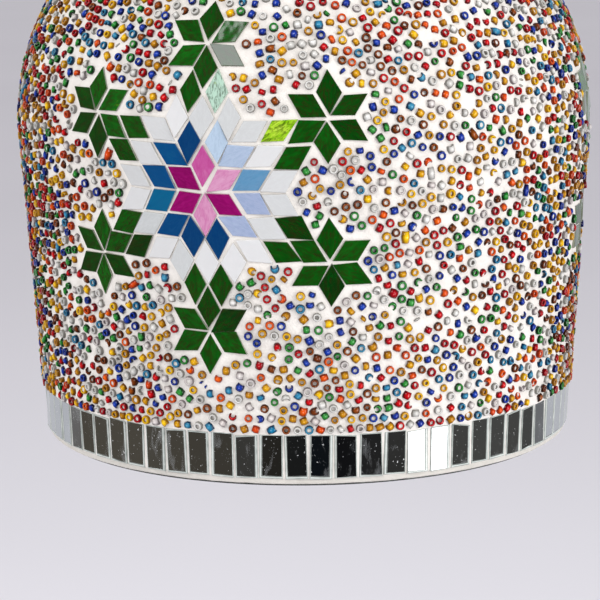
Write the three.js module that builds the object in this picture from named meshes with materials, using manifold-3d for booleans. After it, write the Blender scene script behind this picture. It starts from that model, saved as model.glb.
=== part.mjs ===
// A hanging mosaic lamp: a blown glass dome, open below, plastered outside and set with glass beads,
// cut glass flowers and a band of mirror strips. It hangs by a loop, a link and a ring, and holds a bulb.
// Millimetres, +Z up. The origin is where a hook bears on the inside of the hanging ring.
import * as THREE from "three";
import { mergeVertices } from "three/addons/utils/BufferGeometryUtils.js";
import Module from "manifold-3d";

const wasm = await Module();
wasm.setup();

// ---- General ----
const GAP = 0.3; // clearance between pieces that touch
const TURN_SIDES = 36; // sides of the shade's shells
const SMALL_SIDES = 16; // sides of the turned fittings
const FLARE_PER_FACET = 2.25; // how much of the wall's flare one facet up the wall may carry

// ---- Glass dome, outer surface, heights above the rim ----
const GLASS_RADIUS = 140; // at the shoulder
const RIM_RADIUS = 131;
const SHOULDER_Z = 160;
const DOME_RISE = 125.5; // from the shoulder to the crown
const GLASS_WALL = 3;
const GLASS_HOLE_RADIUS = 21; // at the crown
const WALL_LOW_Z = 0.2; // handles of the wall's curve, as shares of its height
const WALL_HIGH_Z = 0.93;

// ---- Layers on the glass, measured out from its surface ----
const PLASTER = 1.7;
const TILE_BED = 1;
const TILE = 1;
const BEADS = 3.3;
const MIRROR = 1.3;
const LIP = 0.5; // how far the plaster stands out below the mirrors
const PLASTER_FOOT_Z = 0.8; // glass left bare at the rim
const PLASTER_HOLE_RADIUS = 30;
const BEAD_HOLE_RADIUS = 41;

// ---- Mirror band ----
const MIRROR_COUNT = 72;
const MIRROR_LOW_Z = 4.2;
const MIRROR_HEIGHT = 21.7;
const MIRROR_GROUT = 1.4;
const MIRROR_GROOVE = 0.8;

// ---- Flower medallions ----
const MEDALLION_COUNT = 3;
const MEDALLION_ALONG = 141; // centre, along the surface from the rim
const MEDALLION_TURN = -109; // first centre, degrees from +X
const TILE_PITCH = 12.7; // side of a rhombus with its share of grout
const TILE_GROUT = 1;
const PATCH_EASE = 0.45; // how far the corners of a patch draw in from its neighbours
const CUT_EASE = 0.5; // how far the beads keep off a medallion's corners

// ---- Fittings on the shade ----
const SHEET = 1.2; // spun brass
const CAP_RADIUS = 50;
const CAP_FLAT_RADIUS = 16;
const NIPPLE_RADIUS = 5;
const NIPPLE_BORE = 3.6;
const COLLAR_HEIGHT = 8;
const COLLAR_RADIUS = 13;
const SEAL_RADIUS = 30;
const SEAL_HEIGHT = 3;
const PLATE_RADIUS = 27;
const PLATE_HEIGHT = 1.6;
const WASHER_RADIUS = 9;
const WASHER_HEIGHT = 1.5;
const WASHER_SPLIT = 1.5;
const NUT_RADIUS = 8.6;
const NUT_HEIGHT = 5;
const HOLDER_DROP = 5; // bare nipple between the nut and the lamp holder

// ---- Lamp holder ----
const HOLDER_RADIUS = 20.5;
const HOLDER_NECK_RADIUS = 8;
const HOLDER_NECK = 8;
const HOLDER_DOME = 13;
const HOLDER_LENGTH = 44;
const HOLDER_MOUTH_RADIUS = 15.5;
const INSERT_HEIGHT = 10;
const SOCKET_RADIUS = 13.7; // inside the screw shell
const SOCKET_WALL = 0.5;
const SOCKET_LENGTH = 26;
const SOCKET_FLANGE_RADIUS = 17;
const CONTACT_WIDTH = 5;
const CONTACT_DROP = 3;
const CONTACT_REACH = 8;
const CONTACT_SHEET = 0.6;
const TERMINAL_RADIUS = 2;
const TERMINAL_HEIGHT = 4;
const TERMINAL_SPREAD = 11;

// ---- Bulb ----
const BULB_RADIUS = 30;
const BULB_LENGTH = 104; // tip to crown
const BULB_WALL = 1.2;
const BULB_NECK_RADIUS = 12.3;
const BULB_CAP_LENGTH = 23;
const BULB_CAP_WALL = 0.5;
const BULB_TIP_RADIUS = 4.5;
const BULB_TIP_HEIGHT = 1.5;
const BULB_COLLET_HEIGHT = 4;

// ---- Hanging ring, link and loop ----
const WIRE_RADIUS = 2;
const RING_RADIUS = 14; // to the middle of the wire
const LINK_RADIUS = 8;
const LINK_STRAIGHT = 12;
const LOOP_RADIUS = 11;
const LOOP_BASE_RADIUS = 8;
const LOOP_BASE_HEIGHT = 13;
const LOOP_SOCKET = 9;
const LOOP_OVERLAP = 1.2; // how far the loop's wire sinks into its base
const BUSH_RADIUS = 3;
const BUSH_BORE = 1.9;
const BUSH_HEAD_RADIUS = 4.2;
const BUSH_HEAD = 1.8;

// ---- Finishes ----
const finish = (color, roughness, metalness, opacity = 1) =>
  new THREE.MeshStandardMaterial({ color, roughness, metalness, opacity, transparent: opacity < 1 });
const CLEAR_GLASS = finish(0xdfe6e6, 0.08, 0, 0.4);
const PLASTER_WHITE = finish(0xebe7e1, 0.9, 0);
const BEAD_MIX = finish(0xc9a77f, 0.25, 0);
const MIRROR_SILVER = finish(0x9a9da3, 0.05, 1);
const STAR_GLASS = finish(0xa01a72, 0.2, 0);
const RING_GLASS = finish(0x9fb9d6, 0.2, 0);
const GREEN_GLASS = finish(0x0d6a1c, 0.2, 0);
const BRASS = finish(0x9a7a3c, 0.35, 1);
const STEEL = finish(0xa7a9ac, 0.4, 1);
const RUBBER = finish(0x26262a, 0.8, 0);
const CERAMIC = finish(0xf1efe9, 0.4, 0);
const OPAL_GLASS = finish(0xf6f4ee, 0.3, 0);
const BLACK_GLASS = finish(0x16161a, 0.3, 0);
const BLACK_PLASTIC = finish(0x1c1c1e, 0.5, 0);

// ---- Solids ----
const vec = (x, y) => new THREE.Vector2(x, y);

function solidOf(geometry) {
  const bare = new THREE.BufferGeometry().setAttribute("position", geometry.getAttribute("position"));
  bare.setIndex(geometry.index);
  const merged = mergeVertices(bare, 1e-4);
  const vertProperties = new Float32Array(merged.attributes.position.array);
  const triVerts = new Uint32Array(merged.index.array);
  return new wasm.Manifold(new wasm.Mesh({ numProp: 3, vertProperties, triVerts }));
}

function geometryOf(solid) {
  const { vertProperties, triVerts } = solid.getMesh();
  const geometry = new THREE.BufferGeometry();
  geometry.setAttribute("position", new THREE.BufferAttribute(vertProperties, 3));
  geometry.setIndex(new THREE.BufferAttribute(triVerts, 1));
  return geometry;
}

const joined = (a, b) => geometryOf(solidOf(a).add(solidOf(b)));
const cut = (a, b) => geometryOf(solidOf(a).subtract(solidOf(b)));

// A profile of [radius, height] points, anticlockwise, turned about Z.
function turned(points, sides = SMALL_SIDES) {
  const closed = [...points, points[0]].map(([r, z]) => vec(r, z));
  return new THREE.LatheGeometry(closed, sides).rotateX(Math.PI / 2);
}

const tube = (inner, outer, low, high, sides) =>
  turned([[inner, low], [outer, low], [outer, high], [inner, high]], sides);

function rod(radius, low, high, sides = SMALL_SIDES) {
  const bar = new THREE.CylinderGeometry(radius, radius, high - low, sides);
  return bar.rotateX(Math.PI / 2).translate(0, 0, (low + high) / 2);
}

// ---- The dome's outline ----
const outline = new THREE.CurvePath();
outline.add(new THREE.CubicBezierCurve(
  vec(RIM_RADIUS, 0),
  vec(RIM_RADIUS, SHOULDER_Z * WALL_LOW_Z),
  vec(GLASS_RADIUS, SHOULDER_Z * WALL_HIGH_Z),
  vec(GLASS_RADIUS, SHOULDER_Z),
));
outline.add(new THREE.EllipseCurve(0, SHOULDER_Z, GLASS_RADIUS, DOME_RISE, 0, Math.PI / 2));
const [WALL_LENGTH, OUTLINE_LENGTH] = outline.getCurveLengths();

// The point at a distance along the outline from the rim, and a height out from the glass.
function onOutline(along, out) {
  const share = THREE.MathUtils.clamp(along / OUTLINE_LENGTH, 0, 1);
  const tangent = outline.getTangent(share);
  const point = outline.getPoint(share);
  return [point.x + out * tangent.y, point.y - out * tangent.x];
}

function alongWhere(reached, low, high, out = 0) {
  for (let i = 0; i < 40; i++) {
    const middle = (low + high) / 2;
    if (reached(onOutline(middle, out))) high = middle;
    else low = middle;
  }
  return high;
}
const alongAtHeight = (z, out = 0) => alongWhere((p) => p[1] >= z, 0, WALL_LENGTH, out);
const alongAtRadius = (r) => alongWhere((p) => p[0] <= r, WALL_LENGTH, OUTLINE_LENGTH);

// ---- Heights out from the glass ----
const PLASTER_TOP = GAP + PLASTER;
const MOSAIC_LOW = PLASTER_TOP + GAP;
const BEAD_TOP = MOSAIC_LOW + BEADS;

// Stations shared by every layer, so that their facets stay parallel.
const MIRROR_TOP_Z = MIRROR_LOW_Z + MIRROR_HEIGHT;
const ALONG = {
  rim: 0,
  foot: alongAtHeight(PLASTER_FOOT_Z),
  lip: alongAtHeight(MIRROR_LOW_Z - GAP),
  bead: alongAtHeight(MIRROR_TOP_Z + GAP, BEAD_TOP),
  cap: alongAtRadius(CAP_RADIUS),
  beadEnd: alongAtRadius(BEAD_HOLE_RADIUS),
  plasterEnd: alongAtRadius(PLASTER_HOLE_RADIUS),
  glassEnd: alongAtRadius(GLASS_HOLE_RADIUS),
};
const FLARE = Math.abs(GLASS_RADIUS - RIM_RADIUS);
const WALL_STEPS = Math.max(1, Math.ceil(Math.sqrt(FLARE / FLARE_PER_FACET)) - 1);
const DOME_STEPS = 5;

function spread(from, to, steps) {
  return Array.from({ length: steps }, (_, i) => from + ((to - from) * (i + 1)) / (steps + 1));
}
const STATIONS = [
  ...Object.values(ALONG),
  WALL_LENGTH,
  ...spread(ALONG.bead, WALL_LENGTH, WALL_STEPS),
  ...spread(WALL_LENGTH, ALONG.cap, DOME_STEPS),
].sort((a, b) => a - b);

const stationsBetween = (from, to) => STATIONS.filter((s) => s >= from && s <= to);

// The two faces of a layer, outer going up and then inner coming down.
function layerProfile(from, to, inner, outer) {
  const stations = stationsBetween(from, to);
  const up = stations.map((s) => onOutline(s, outer));
  const down = stations.map((s) => onOutline(s, inner)).reverse();
  return [...up, ...down];
}

function glassShell() {
  return turned(layerProfile(ALONG.rim, ALONG.glassEnd, -GLASS_WALL, 0), TURN_SIDES);
}

function plasterCoat() {
  const coat = layerProfile(ALONG.lip, ALONG.plasterEnd, GAP, PLASTER_TOP);
  const lipTop = onOutline(ALONG.lip, PLASTER_TOP + LIP);
  const lipLow = onOutline(ALONG.foot, PLASTER_TOP + LIP);
  const footIn = onOutline(ALONG.foot, GAP);
  return turned([footIn, lipLow, lipTop, ...coat], TURN_SIDES);
}

// A ring of flat strips in one band, leaning with the wall.
function mirrorBand() {
  const pitch = (2 * Math.PI) / MIRROR_COUNT;
  const middle = RIM_RADIUS + MOSAIC_LOW + MIRROR;
  const half = pitch / 2 - MIRROR_GROUT / 2 / middle;
  const polar = (angle, out) => vec(Math.cos(angle), Math.sin(angle)).multiplyScalar(RIM_RADIUS + out);
  const ring = new THREE.Shape();
  const strips = [];
  for (let i = 0; i < MIRROR_COUNT; i++) {
    const angle = (i + 0.5) * pitch;
    const face = MOSAIC_LOW + MIRROR;
    strips.push(polar(angle - half, face - MIRROR_GROOVE), polar(angle - half, face));
    strips.push(polar(angle + half, face), polar(angle + half, face - MIRROR_GROOVE));
  }
  ring.setFromPoints(strips);
  const side = (2 * Math.PI) / TURN_SIDES;
  const inside = Array.from({ length: TURN_SIDES }, (_, i) => polar(i * side, MOSAIC_LOW));
  ring.holes.push(new THREE.Path(inside.reverse()));
  const band = new THREE.ExtrudeGeometry(ring, { depth: MIRROR_HEIGHT, bevelEnabled: false });
  band.translate(0, 0, MIRROR_LOW_Z);
  const p = band.attributes.position;
  for (let i = 0; i < p.count; i++) {
    const radius = Math.hypot(p.getX(i), p.getY(i));
    const wall = onOutline(alongAtHeight(p.getZ(i)), 0)[0];
    const scale = (radius - RIM_RADIUS + wall) / radius;
    p.setXY(i, p.getX(i) * scale, p.getY(i) * scale);
  }
  return band;
}

// ---- Medallions: rhombi on a triangular lattice, with corners as [i, j] steps ----
const STEPS = [[1, 0], [0, 1], [-1, 1], [-1, 0], [0, -1], [1, -1]];
const step = (k) => STEPS[(k + 6) % 6];
const plus = (a, b) => [a[0] + b[0], a[1] + b[1]];
const times = (a, n) => [a[0] * n, a[1] * n];

// The rhombus with a sharp corner at an origin and its sides along steps k and k + 1.
function rhombus(origin, k) {
  const first = plus(origin, step(k));
  const last = plus(origin, step(k + 1));
  return [origin, first, plus(first, step(k + 1)), last];
}
const six = (make) => [0, 1, 2, 3, 4, 5].flatMap(make);
const STAR = six((k) => [rhombus([0, 0], k)]);
const RING = six((k) => {
  const tip = plus(step(k), step(k + 1));
  const inner = [rhombus(step(k), k), rhombus(step(k), k - 1)];
  const outer = [rhombus(times(step(k), 2), k), rhombus(times(step(k), 2), k - 1)];
  return [...inner, rhombus(tip, k), ...outer];
});
function flower(k) {
  const tip = plus(step(k), step(k + 1));
  const petals = six((j) => [rhombus(times(tip, 3), j)]);
  return [...petals, rhombus(plus(tip, step(k)), k), rhombus(plus(tip, step(k + 1)), k)];
}
const FLOWERS = [0, 1, 2, 3, 4, 5].map(flower);
const ALL_CELLS = [...STAR, ...RING, ...FLOWERS.flat()];

const flat = ([i, j]) => vec((i + j / 2) * TILE_PITCH, (j * Math.sqrt(3) * TILE_PITCH) / 2);

// Wraps a flat point of a medallion, centred at an angle, onto the dome.
function wrapped(point, out, angle) {
  const along = MEDALLION_ALONG + point.y;
  const [middle] = onOutline(along, MOSAIC_LOW);
  const [radius, z] = onOutline(along, out);
  const turn = angle + point.x / middle;
  return new THREE.Vector3(radius * Math.cos(turn), radius * Math.sin(turn), z);
}

// Moves a cell's corners in by half a joint of grout.
function tileFace(cell, angle, out) {
  const corners = cell.map(flat);
  const centre = corners[0].clone().add(corners[2]).multiplyScalar(0.5);
  const shrink = 1 - TILE_GROUT / (TILE_PITCH * Math.sin(Math.PI / 3));
  const middle = wrapped(centre, out, angle);
  const normal = wrapped(centre, out + 1, angle).sub(middle).normalize();
  return corners.map((corner) => {
    const inset = corner.clone().sub(centre).multiplyScalar(shrink).add(centre);
    const point = wrapped(inset, out, angle);
    return point.addScaledVector(normal, middle.clone().sub(point).dot(normal));
  });
}

// A patch of cells with walls around it. Its corners draw in by ease, or out where ease is negative.
// With a face height each cell carries a flat tile, and without one the patch is plain.
function patch(cells, angle, { low, high, ease, face }) {
  const keyed = new Map();
  const sides = new Set();
  for (const cell of cells) {
    const centre = flat(cell[0]).add(flat(cell[2])).multiplyScalar(0.5);
    cell.forEach((corner, n) => {
      const next = cell[(n + 1) % 4];
      sides.add(corner + ">" + next);
      const seen = keyed.get(String(corner)) ?? { corner, pull: vec(0, 0), rim: false };
      const pull = centre.clone().sub(flat(corner));
      seen.pull.addScaledVector(pull, 1 / pull.lengthSq());
      keyed.set(String(corner), seen);
    });
  }
  const rims = [...sides].map((side) => side.split(">")).filter(([a, b]) => !sides.has(b + ">" + a));
  for (const [a, b] of rims) {
    keyed.get(a).rim = true;
    keyed.get(b).rim = true;
  }
  const points = [];
  const index = [];
  const add = (v) => points.push(v.x, v.y, v.z) / 3 - 1;
  for (const seen of keyed.values()) {
    const place = flat(seen.corner);
    if (seen.rim) place.addScaledVector(seen.pull.normalize(), ease);
    seen.low = add(wrapped(place, low, angle));
    seen.high = add(wrapped(place, high, angle));
  }
  const quad = (a, b, c, d) => index.push(a, b, d, b, c, d);
  for (const cell of cells) {
    const at = cell.map((corner) => keyed.get(String(corner)));
    quad(at[0].low, at[3].low, at[2].low, at[1].low);
    if (face === undefined) {
      quad(at[0].high, at[1].high, at[2].high, at[3].high);
      continue;
    }
    const top = tileFace(cell, angle, face).map(add);
    quad(...top);
    at.forEach((here, n) => {
      const m = (n + 1) % 4;
      quad(here.high, at[m].high, top[m], top[n]);
    });
  }
  for (const [a, b] of rims) {
    const [from, to] = [keyed.get(a), keyed.get(b)];
    quad(from.low, to.low, to.high, from.high);
  }
  const geometry = new THREE.BufferGeometry();
  geometry.setAttribute("position", new THREE.Float32BufferAttribute(points, 3));
  return geometry.setIndex(index);
}

// A tile's flat underside dips below its corners, so its bed starts that much higher.
const tightestBend = Math.min(GLASS_RADIUS, DOME_RISE ** 2 / GLASS_RADIUS);
const tileDip = (TILE_PITCH * Math.sqrt(3)) ** 2 / (8 * tightestBend);

const medallionAngle = (m) => THREE.MathUtils.degToRad(MEDALLION_TURN + (360 * m) / MEDALLION_COUNT);
const TILED = {
  low: PLASTER_TOP + Math.max(GAP, tileDip),
  high: MOSAIC_LOW + TILE_BED,
  face: MOSAIC_LOW + TILE_BED + TILE,
  ease: PATCH_EASE,
};

function beadLayer() {
  let layer = turned(layerProfile(ALONG.bead, ALONG.beadEnd, MOSAIC_LOW, BEAD_TOP), TURN_SIDES);
  const through = { low: MOSAIC_LOW - BEADS, high: BEAD_TOP + BEADS, ease: -CUT_EASE };
  for (let m = 0; m < MEDALLION_COUNT; m++) {
    layer = cut(layer, patch(ALL_CELLS, medallionAngle(m), through));
  }
  return layer;
}

// ---- Heights of the fittings above the rim ----
const boreRadius = NIPPLE_RADIUS + GAP;
const capLow = BEAD_TOP + GAP;
const capFlatZ = onOutline(alongAtRadius(CAP_FLAT_RADIUS), capLow)[1];
const capTopZ = capFlatZ + SHEET;
const collarZ = capTopZ + GAP;
const loopZ = collarZ + COLLAR_HEIGHT + GAP;
const sealTopZ = onOutline(alongAtRadius(SEAL_RADIUS), -GLASS_WALL)[1] - GAP;
const plateTopZ = sealTopZ - SEAL_HEIGHT - GAP;
const washerTopZ = plateTopZ - PLATE_HEIGHT - GAP;
const nutTopZ = washerTopZ - WASHER_HEIGHT - GAP;
const holderTopZ = nutTopZ - NUT_HEIGHT - HOLDER_DROP;
const holderSeamZ = holderTopZ - HOLDER_NECK - HOLDER_DOME;
const nippleLowZ = holderTopZ - HOLDER_NECK;
const insertTopZ = holderSeamZ - TERMINAL_HEIGHT / 2;
const insertLowZ = insertTopZ - INSERT_HEIGHT;
const socketTopZ = insertLowZ - GAP;
const bulbTopZ = socketTopZ - SOCKET_WALL - CONTACT_DROP - GAP;

// ---- Fittings ----
function canopyCap() {
  const stations = [...stationsBetween(ALONG.cap, ALONG.beadEnd), alongAtRadius(CAP_FLAT_RADIUS)];
  const outside = stations.map((s) => onOutline(s, capLow + SHEET));
  const inside = stations.map((s) => onOutline(s, capLow)).reverse();
  return turned([...outside, [boreRadius, capTopZ], [boreRadius, capFlatZ], ...inside], TURN_SIDES);
}

function collar() {
  const top = collarZ + COLLAR_HEIGHT;
  const step = COLLAR_HEIGHT / 3;
  const narrow = (COLLAR_RADIUS + LOOP_BASE_RADIUS) / 2;
  return turned([
    [boreRadius, collarZ],
    [COLLAR_RADIUS, collarZ],
    [COLLAR_RADIUS, collarZ + step],
    [narrow, collarZ + 2 * step],
    [LOOP_BASE_RADIUS, top],
    [boreRadius, top],
  ]);
}

const loopCentreZ = loopZ + LOOP_BASE_HEIGHT + LOOP_RADIUS + WIRE_RADIUS - LOOP_OVERLAP;
const bushZ = loopZ + LOOP_SOCKET / 2;

// A base with a socket for the nipple, a side hole for the cord, and a loop standing in the XZ plane.
function topLoop() {
  const base = turned([
    [boreRadius, loopZ],
    [LOOP_BASE_RADIUS, loopZ],
    [LOOP_BASE_RADIUS, loopZ + LOOP_BASE_HEIGHT],
    [0, loopZ + LOOP_BASE_HEIGHT],
    [0, loopZ + LOOP_SOCKET],
    [boreRadius, loopZ + LOOP_SOCKET],
  ]);
  const ring = ringInXZ(LOOP_RADIUS).translate(0, 0, loopCentreZ);
  return cut(joined(base, ring), sideways(rod(BUSH_RADIUS + GAP, 0, LOOP_BASE_RADIUS * 2)));
}

// Lays a piece that stands on Z along +Y, at the cord inlet.
function sideways(geometry) {
  return geometry.rotateX(-Math.PI / 2).translate(0, 0, bushZ);
}

function cordBush() {
  const inner = boreRadius + GAP;
  return sideways(turned([
    [BUSH_BORE, inner],
    [BUSH_RADIUS, inner],
    [BUSH_RADIUS, LOOP_BASE_RADIUS + GAP],
    [BUSH_HEAD_RADIUS, LOOP_BASE_RADIUS + GAP],
    [BUSH_HEAD_RADIUS, LOOP_BASE_RADIUS + GAP + BUSH_HEAD],
    [BUSH_BORE, LOOP_BASE_RADIUS + GAP + BUSH_HEAD],
  ]));
}

// The nipple is slotted at the cord inlet, so that the cord can turn down into it.
function nipple() {
  const pipe = tube(NIPPLE_BORE, NIPPLE_RADIUS, nippleLowZ, loopZ + LOOP_SOCKET - GAP);
  return cut(pipe, sideways(rod(BUSH_RADIUS, 0, LOOP_BASE_RADIUS)));
}

function springWasher() {
  const ring = tube(boreRadius, WASHER_RADIUS, washerTopZ - WASHER_HEIGHT, washerTopZ);
  const split = new THREE.BoxGeometry(WASHER_RADIUS * 2, WASHER_SPLIT, WASHER_HEIGHT * 3);
  return cut(ring, split.translate(WASHER_RADIUS, 0, washerTopZ));
}

function lockNut() {
  return cut(rod(NUT_RADIUS, nutTopZ - NUT_HEIGHT, nutTopZ, 6), rod(boreRadius, 0, nutTopZ + 1));
}

// ---- Lamp holder ----
function holderCap() {
  const neckLow = holderTopZ - HOLDER_NECK;
  const dome = (radius, rise) =>
    [0, 1, 2, 3].map((n) => {
      const turn = (n / 3) * (Math.PI / 2);
      const reach = HOLDER_NECK_RADIUS + (radius - HOLDER_NECK_RADIUS) * Math.cos(turn);
      return [reach, holderSeamZ + rise * Math.sin(turn)];
    });
  const outside = dome(HOLDER_RADIUS, HOLDER_DOME);
  const inside = dome(HOLDER_RADIUS - SHEET, HOLDER_DOME - SHEET).reverse();
  return turned([
    ...outside,
    [HOLDER_NECK_RADIUS, holderTopZ],
    [boreRadius, holderTopZ],
    [boreRadius, neckLow - SHEET],
    ...inside,
  ]);
}

const holderLowZ = holderSeamZ - GAP - HOLDER_LENGTH;

function holderBody() {
  const inside = HOLDER_RADIUS - SHEET;
  return turned([
    [HOLDER_MOUTH_RADIUS, holderLowZ],
    [HOLDER_RADIUS, holderLowZ],
    [HOLDER_RADIUS, holderSeamZ - GAP],
    [inside, holderSeamZ - GAP],
    [inside, holderLowZ + SHEET],
    [HOLDER_MOUTH_RADIUS, holderLowZ + SHEET],
  ]);
}

const holderInsert = () => rod(HOLDER_RADIUS - SHEET - GAP, insertLowZ, insertTopZ);

function screwShell() {
  return turned([
    [SOCKET_RADIUS, socketTopZ - SOCKET_LENGTH],
    [SOCKET_RADIUS + SOCKET_WALL, socketTopZ - SOCKET_LENGTH],
    [SOCKET_RADIUS + SOCKET_WALL, socketTopZ - SOCKET_WALL],
    [SOCKET_FLANGE_RADIUS, socketTopZ - SOCKET_WALL],
    [SOCKET_FLANGE_RADIUS, socketTopZ],
    [SOCKET_RADIUS, socketTopZ],
  ]);
}

// A strip fixed under the insert that springs down to the bulb's tip.
function centreContact() {
  const top = socketTopZ;
  const low = top - CONTACT_DROP;
  const strip = new THREE.Shape([
    vec(-CONTACT_REACH, top - CONTACT_SHEET),
    vec(-CONTACT_REACH / 2, top - CONTACT_SHEET),
    vec(0, low),
    vec(CONTACT_REACH / 2, low),
    vec(CONTACT_REACH / 2, low + CONTACT_SHEET),
    vec(CONTACT_SHEET / 3, low + CONTACT_SHEET),
    vec(CONTACT_SHEET / 3 - CONTACT_REACH / 2, top),
    vec(-CONTACT_REACH, top),
  ]);
  const spring = new THREE.ExtrudeGeometry(strip, { depth: CONTACT_WIDTH, bevelEnabled: false });
  return spring.translate(0, 0, -CONTACT_WIDTH / 2).rotateX(Math.PI / 2);
}

function terminalScrew(side) {
  const screw = rod(TERMINAL_RADIUS, insertTopZ + GAP, insertTopZ + GAP + TERMINAL_HEIGHT, 12);
  return screw.translate(side * TERMINAL_SPREAD, 0, 0);
}

// ---- Bulb ----
const bulbColletZ = bulbTopZ - BULB_TIP_HEIGHT - GAP;
const bulbCapTopZ = bulbColletZ - BULB_COLLET_HEIGHT - GAP;
const bulbCapLowZ = bulbCapTopZ - BULB_CAP_LENGTH;
const bulbCapRadius = SOCKET_RADIUS - GAP;

const bulbTip = () => rod(BULB_TIP_RADIUS, bulbTopZ - BULB_TIP_HEIGHT, bulbTopZ);

function bulbCollet() {
  return turned([
    [0, bulbColletZ - BULB_COLLET_HEIGHT],
    [bulbCapRadius - BULB_CAP_WALL, bulbColletZ - BULB_COLLET_HEIGHT],
    [BULB_TIP_RADIUS + BULB_CAP_WALL, bulbColletZ],
    [0, bulbColletZ],
  ]);
}

const bulbCap = () => tube(bulbCapRadius - BULB_CAP_WALL, bulbCapRadius, bulbCapLowZ, bulbCapTopZ);

// A pear shape: a ball below, and a neck that runs up into the cap.
function bulbGlass() {
  const centre = bulbTopZ - BULB_LENGTH + BULB_RADIUS;
  const neckTop = bulbCapTopZ - BULB_CAP_LENGTH / 2;
  const neck = Math.min(BULB_NECK_RADIUS, bulbCapRadius - BULB_CAP_WALL - GAP);
  const skin = (inset) => {
    const ball = BULB_RADIUS - inset;
    const low = new THREE.EllipseCurve(0, centre, ball, ball, -Math.PI / 2, Math.PI / 6);
    const start = low.getPoint(1);
    const shoulder = new THREE.CubicBezierCurve(
      start,
      vec(start.x - (bulbCapLowZ - start.y) / 4, start.y + (bulbCapLowZ - start.y) / 2),
      vec(neck - inset, start.y + (bulbCapLowZ - start.y) / 2),
      vec(neck - inset, bulbCapLowZ),
    );
    const curve = [...low.getPoints(7), ...shoulder.getPoints(4).slice(1)].map((p) => [p.x, p.y]);
    curve[0][0] = 0;
    return [...curve, [neck - inset, neckTop]];
  };
  return turned([...skin(0), ...skin(BULB_WALL).reverse()]);
}

// ---- Hanging ring and link ----
function ringInXZ(radius, straight = 0) {
  const ring = new THREE.TorusGeometry(radius, WIRE_RADIUS, 8, 20);
  const p = ring.attributes.position;
  for (let i = 0; i < p.count; i++) {
    const y = p.getY(i);
    if (Math.abs(y) > GAP) p.setY(i, y + (Math.sign(y) * straight) / 2);
  }
  return ring.rotateX(Math.PI / 2);
}

const ringLowZ = -2 * RING_RADIUS + WIRE_RADIUS; // middle of the wire at the ring's foot
const linkTopZ = ringLowZ + 2 * WIRE_RADIUS + GAP; // middle of the link's upper wire
const linkCentreZ = linkTopZ - LINK_RADIUS - LINK_STRAIGHT / 2;
const linkLowZ = linkTopZ - 2 * LINK_RADIUS - LINK_STRAIGHT;
const loopTopZ = linkLowZ + 2 * WIRE_RADIUS + GAP;

const hangingRing = () => ringInXZ(RING_RADIUS).translate(0, 0, WIRE_RADIUS - RING_RADIUS);

function link() {
  return ringInXZ(LINK_RADIUS, LINK_STRAIGHT).rotateZ(Math.PI / 2).translate(0, 0, linkCentreZ);
}

// ---- Assembly ----
const part = new THREE.Group();
const lamp = new THREE.Group();
lamp.position.z = loopTopZ - LOOP_RADIUS - loopCentreZ;
part.add(lamp);

function place(parent, name, geometry, material) {
  const mesh = new THREE.Mesh(geometry, material);
  mesh.name = name;
  parent.add(mesh);
}

place(part, "hanging_ring", hangingRing(), BRASS);
place(part, "chain_link", link(), BRASS);
place(lamp, "top_loop", topLoop(), BRASS);
place(lamp, "cord_bush", cordBush(), BLACK_PLASTIC);
place(lamp, "collar", collar(), BRASS);
place(lamp, "canopy_cap", canopyCap(), BRASS);
place(lamp, "nipple", nipple(), STEEL);

place(lamp, "glass_shell", glassShell(), CLEAR_GLASS);
place(lamp, "plaster_coat", plasterCoat(), PLASTER_WHITE);
place(lamp, "bead_layer", beadLayer(), BEAD_MIX);
place(lamp, "mirror_band", mirrorBand(), MIRROR_SILVER);
for (let m = 0; m < MEDALLION_COUNT; m++) {
  const angle = medallionAngle(m);
  const tag = "_" + (m + 1);
  place(lamp, "star" + tag, patch(STAR, angle, TILED), STAR_GLASS);
  place(lamp, "petal_ring" + tag, patch(RING, angle, TILED), RING_GLASS);
  FLOWERS.forEach((cells, k) => {
    place(lamp, "flower" + tag + "_" + (k + 1), patch(cells, angle, TILED), GREEN_GLASS);
  });
}

place(lamp, "seal_ring", tube(boreRadius, SEAL_RADIUS, sealTopZ - SEAL_HEIGHT, sealTopZ), RUBBER);
place(lamp, "clamp_plate", tube(boreRadius, PLATE_RADIUS, plateTopZ - PLATE_HEIGHT, plateTopZ), STEEL);
place(lamp, "spring_washer", springWasher(), STEEL);
place(lamp, "lock_nut", lockNut(), STEEL);
place(lamp, "holder_cap", holderCap(), BRASS);
place(lamp, "holder_body", holderBody(), BRASS);
place(lamp, "holder_insert", holderInsert(), CERAMIC);
place(lamp, "screw_shell", screwShell(), BRASS);
place(lamp, "centre_contact", centreContact(), BRASS);
place(lamp, "terminal_screw_1", terminalScrew(-1), STEEL);
place(lamp, "terminal_screw_2", terminalScrew(1), STEEL);
place(lamp, "bulb_tip", bulbTip(), STEEL);
place(lamp, "bulb_collet", bulbCollet(), BLACK_GLASS);
place(lamp, "bulb_cap", bulbCap(), STEEL);
place(lamp, "bulb_glass", bulbGlass(), OPAL_GLASS);

export default part;
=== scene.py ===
"""The looks of a hanging mosaic lamp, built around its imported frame. Metres, +Z up."""
import math
from contextlib import contextmanager

import bmesh
import bpy
import numpy as np
from mathutils import Matrix, Vector
from mathutils.kdtree import KDTree


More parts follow.
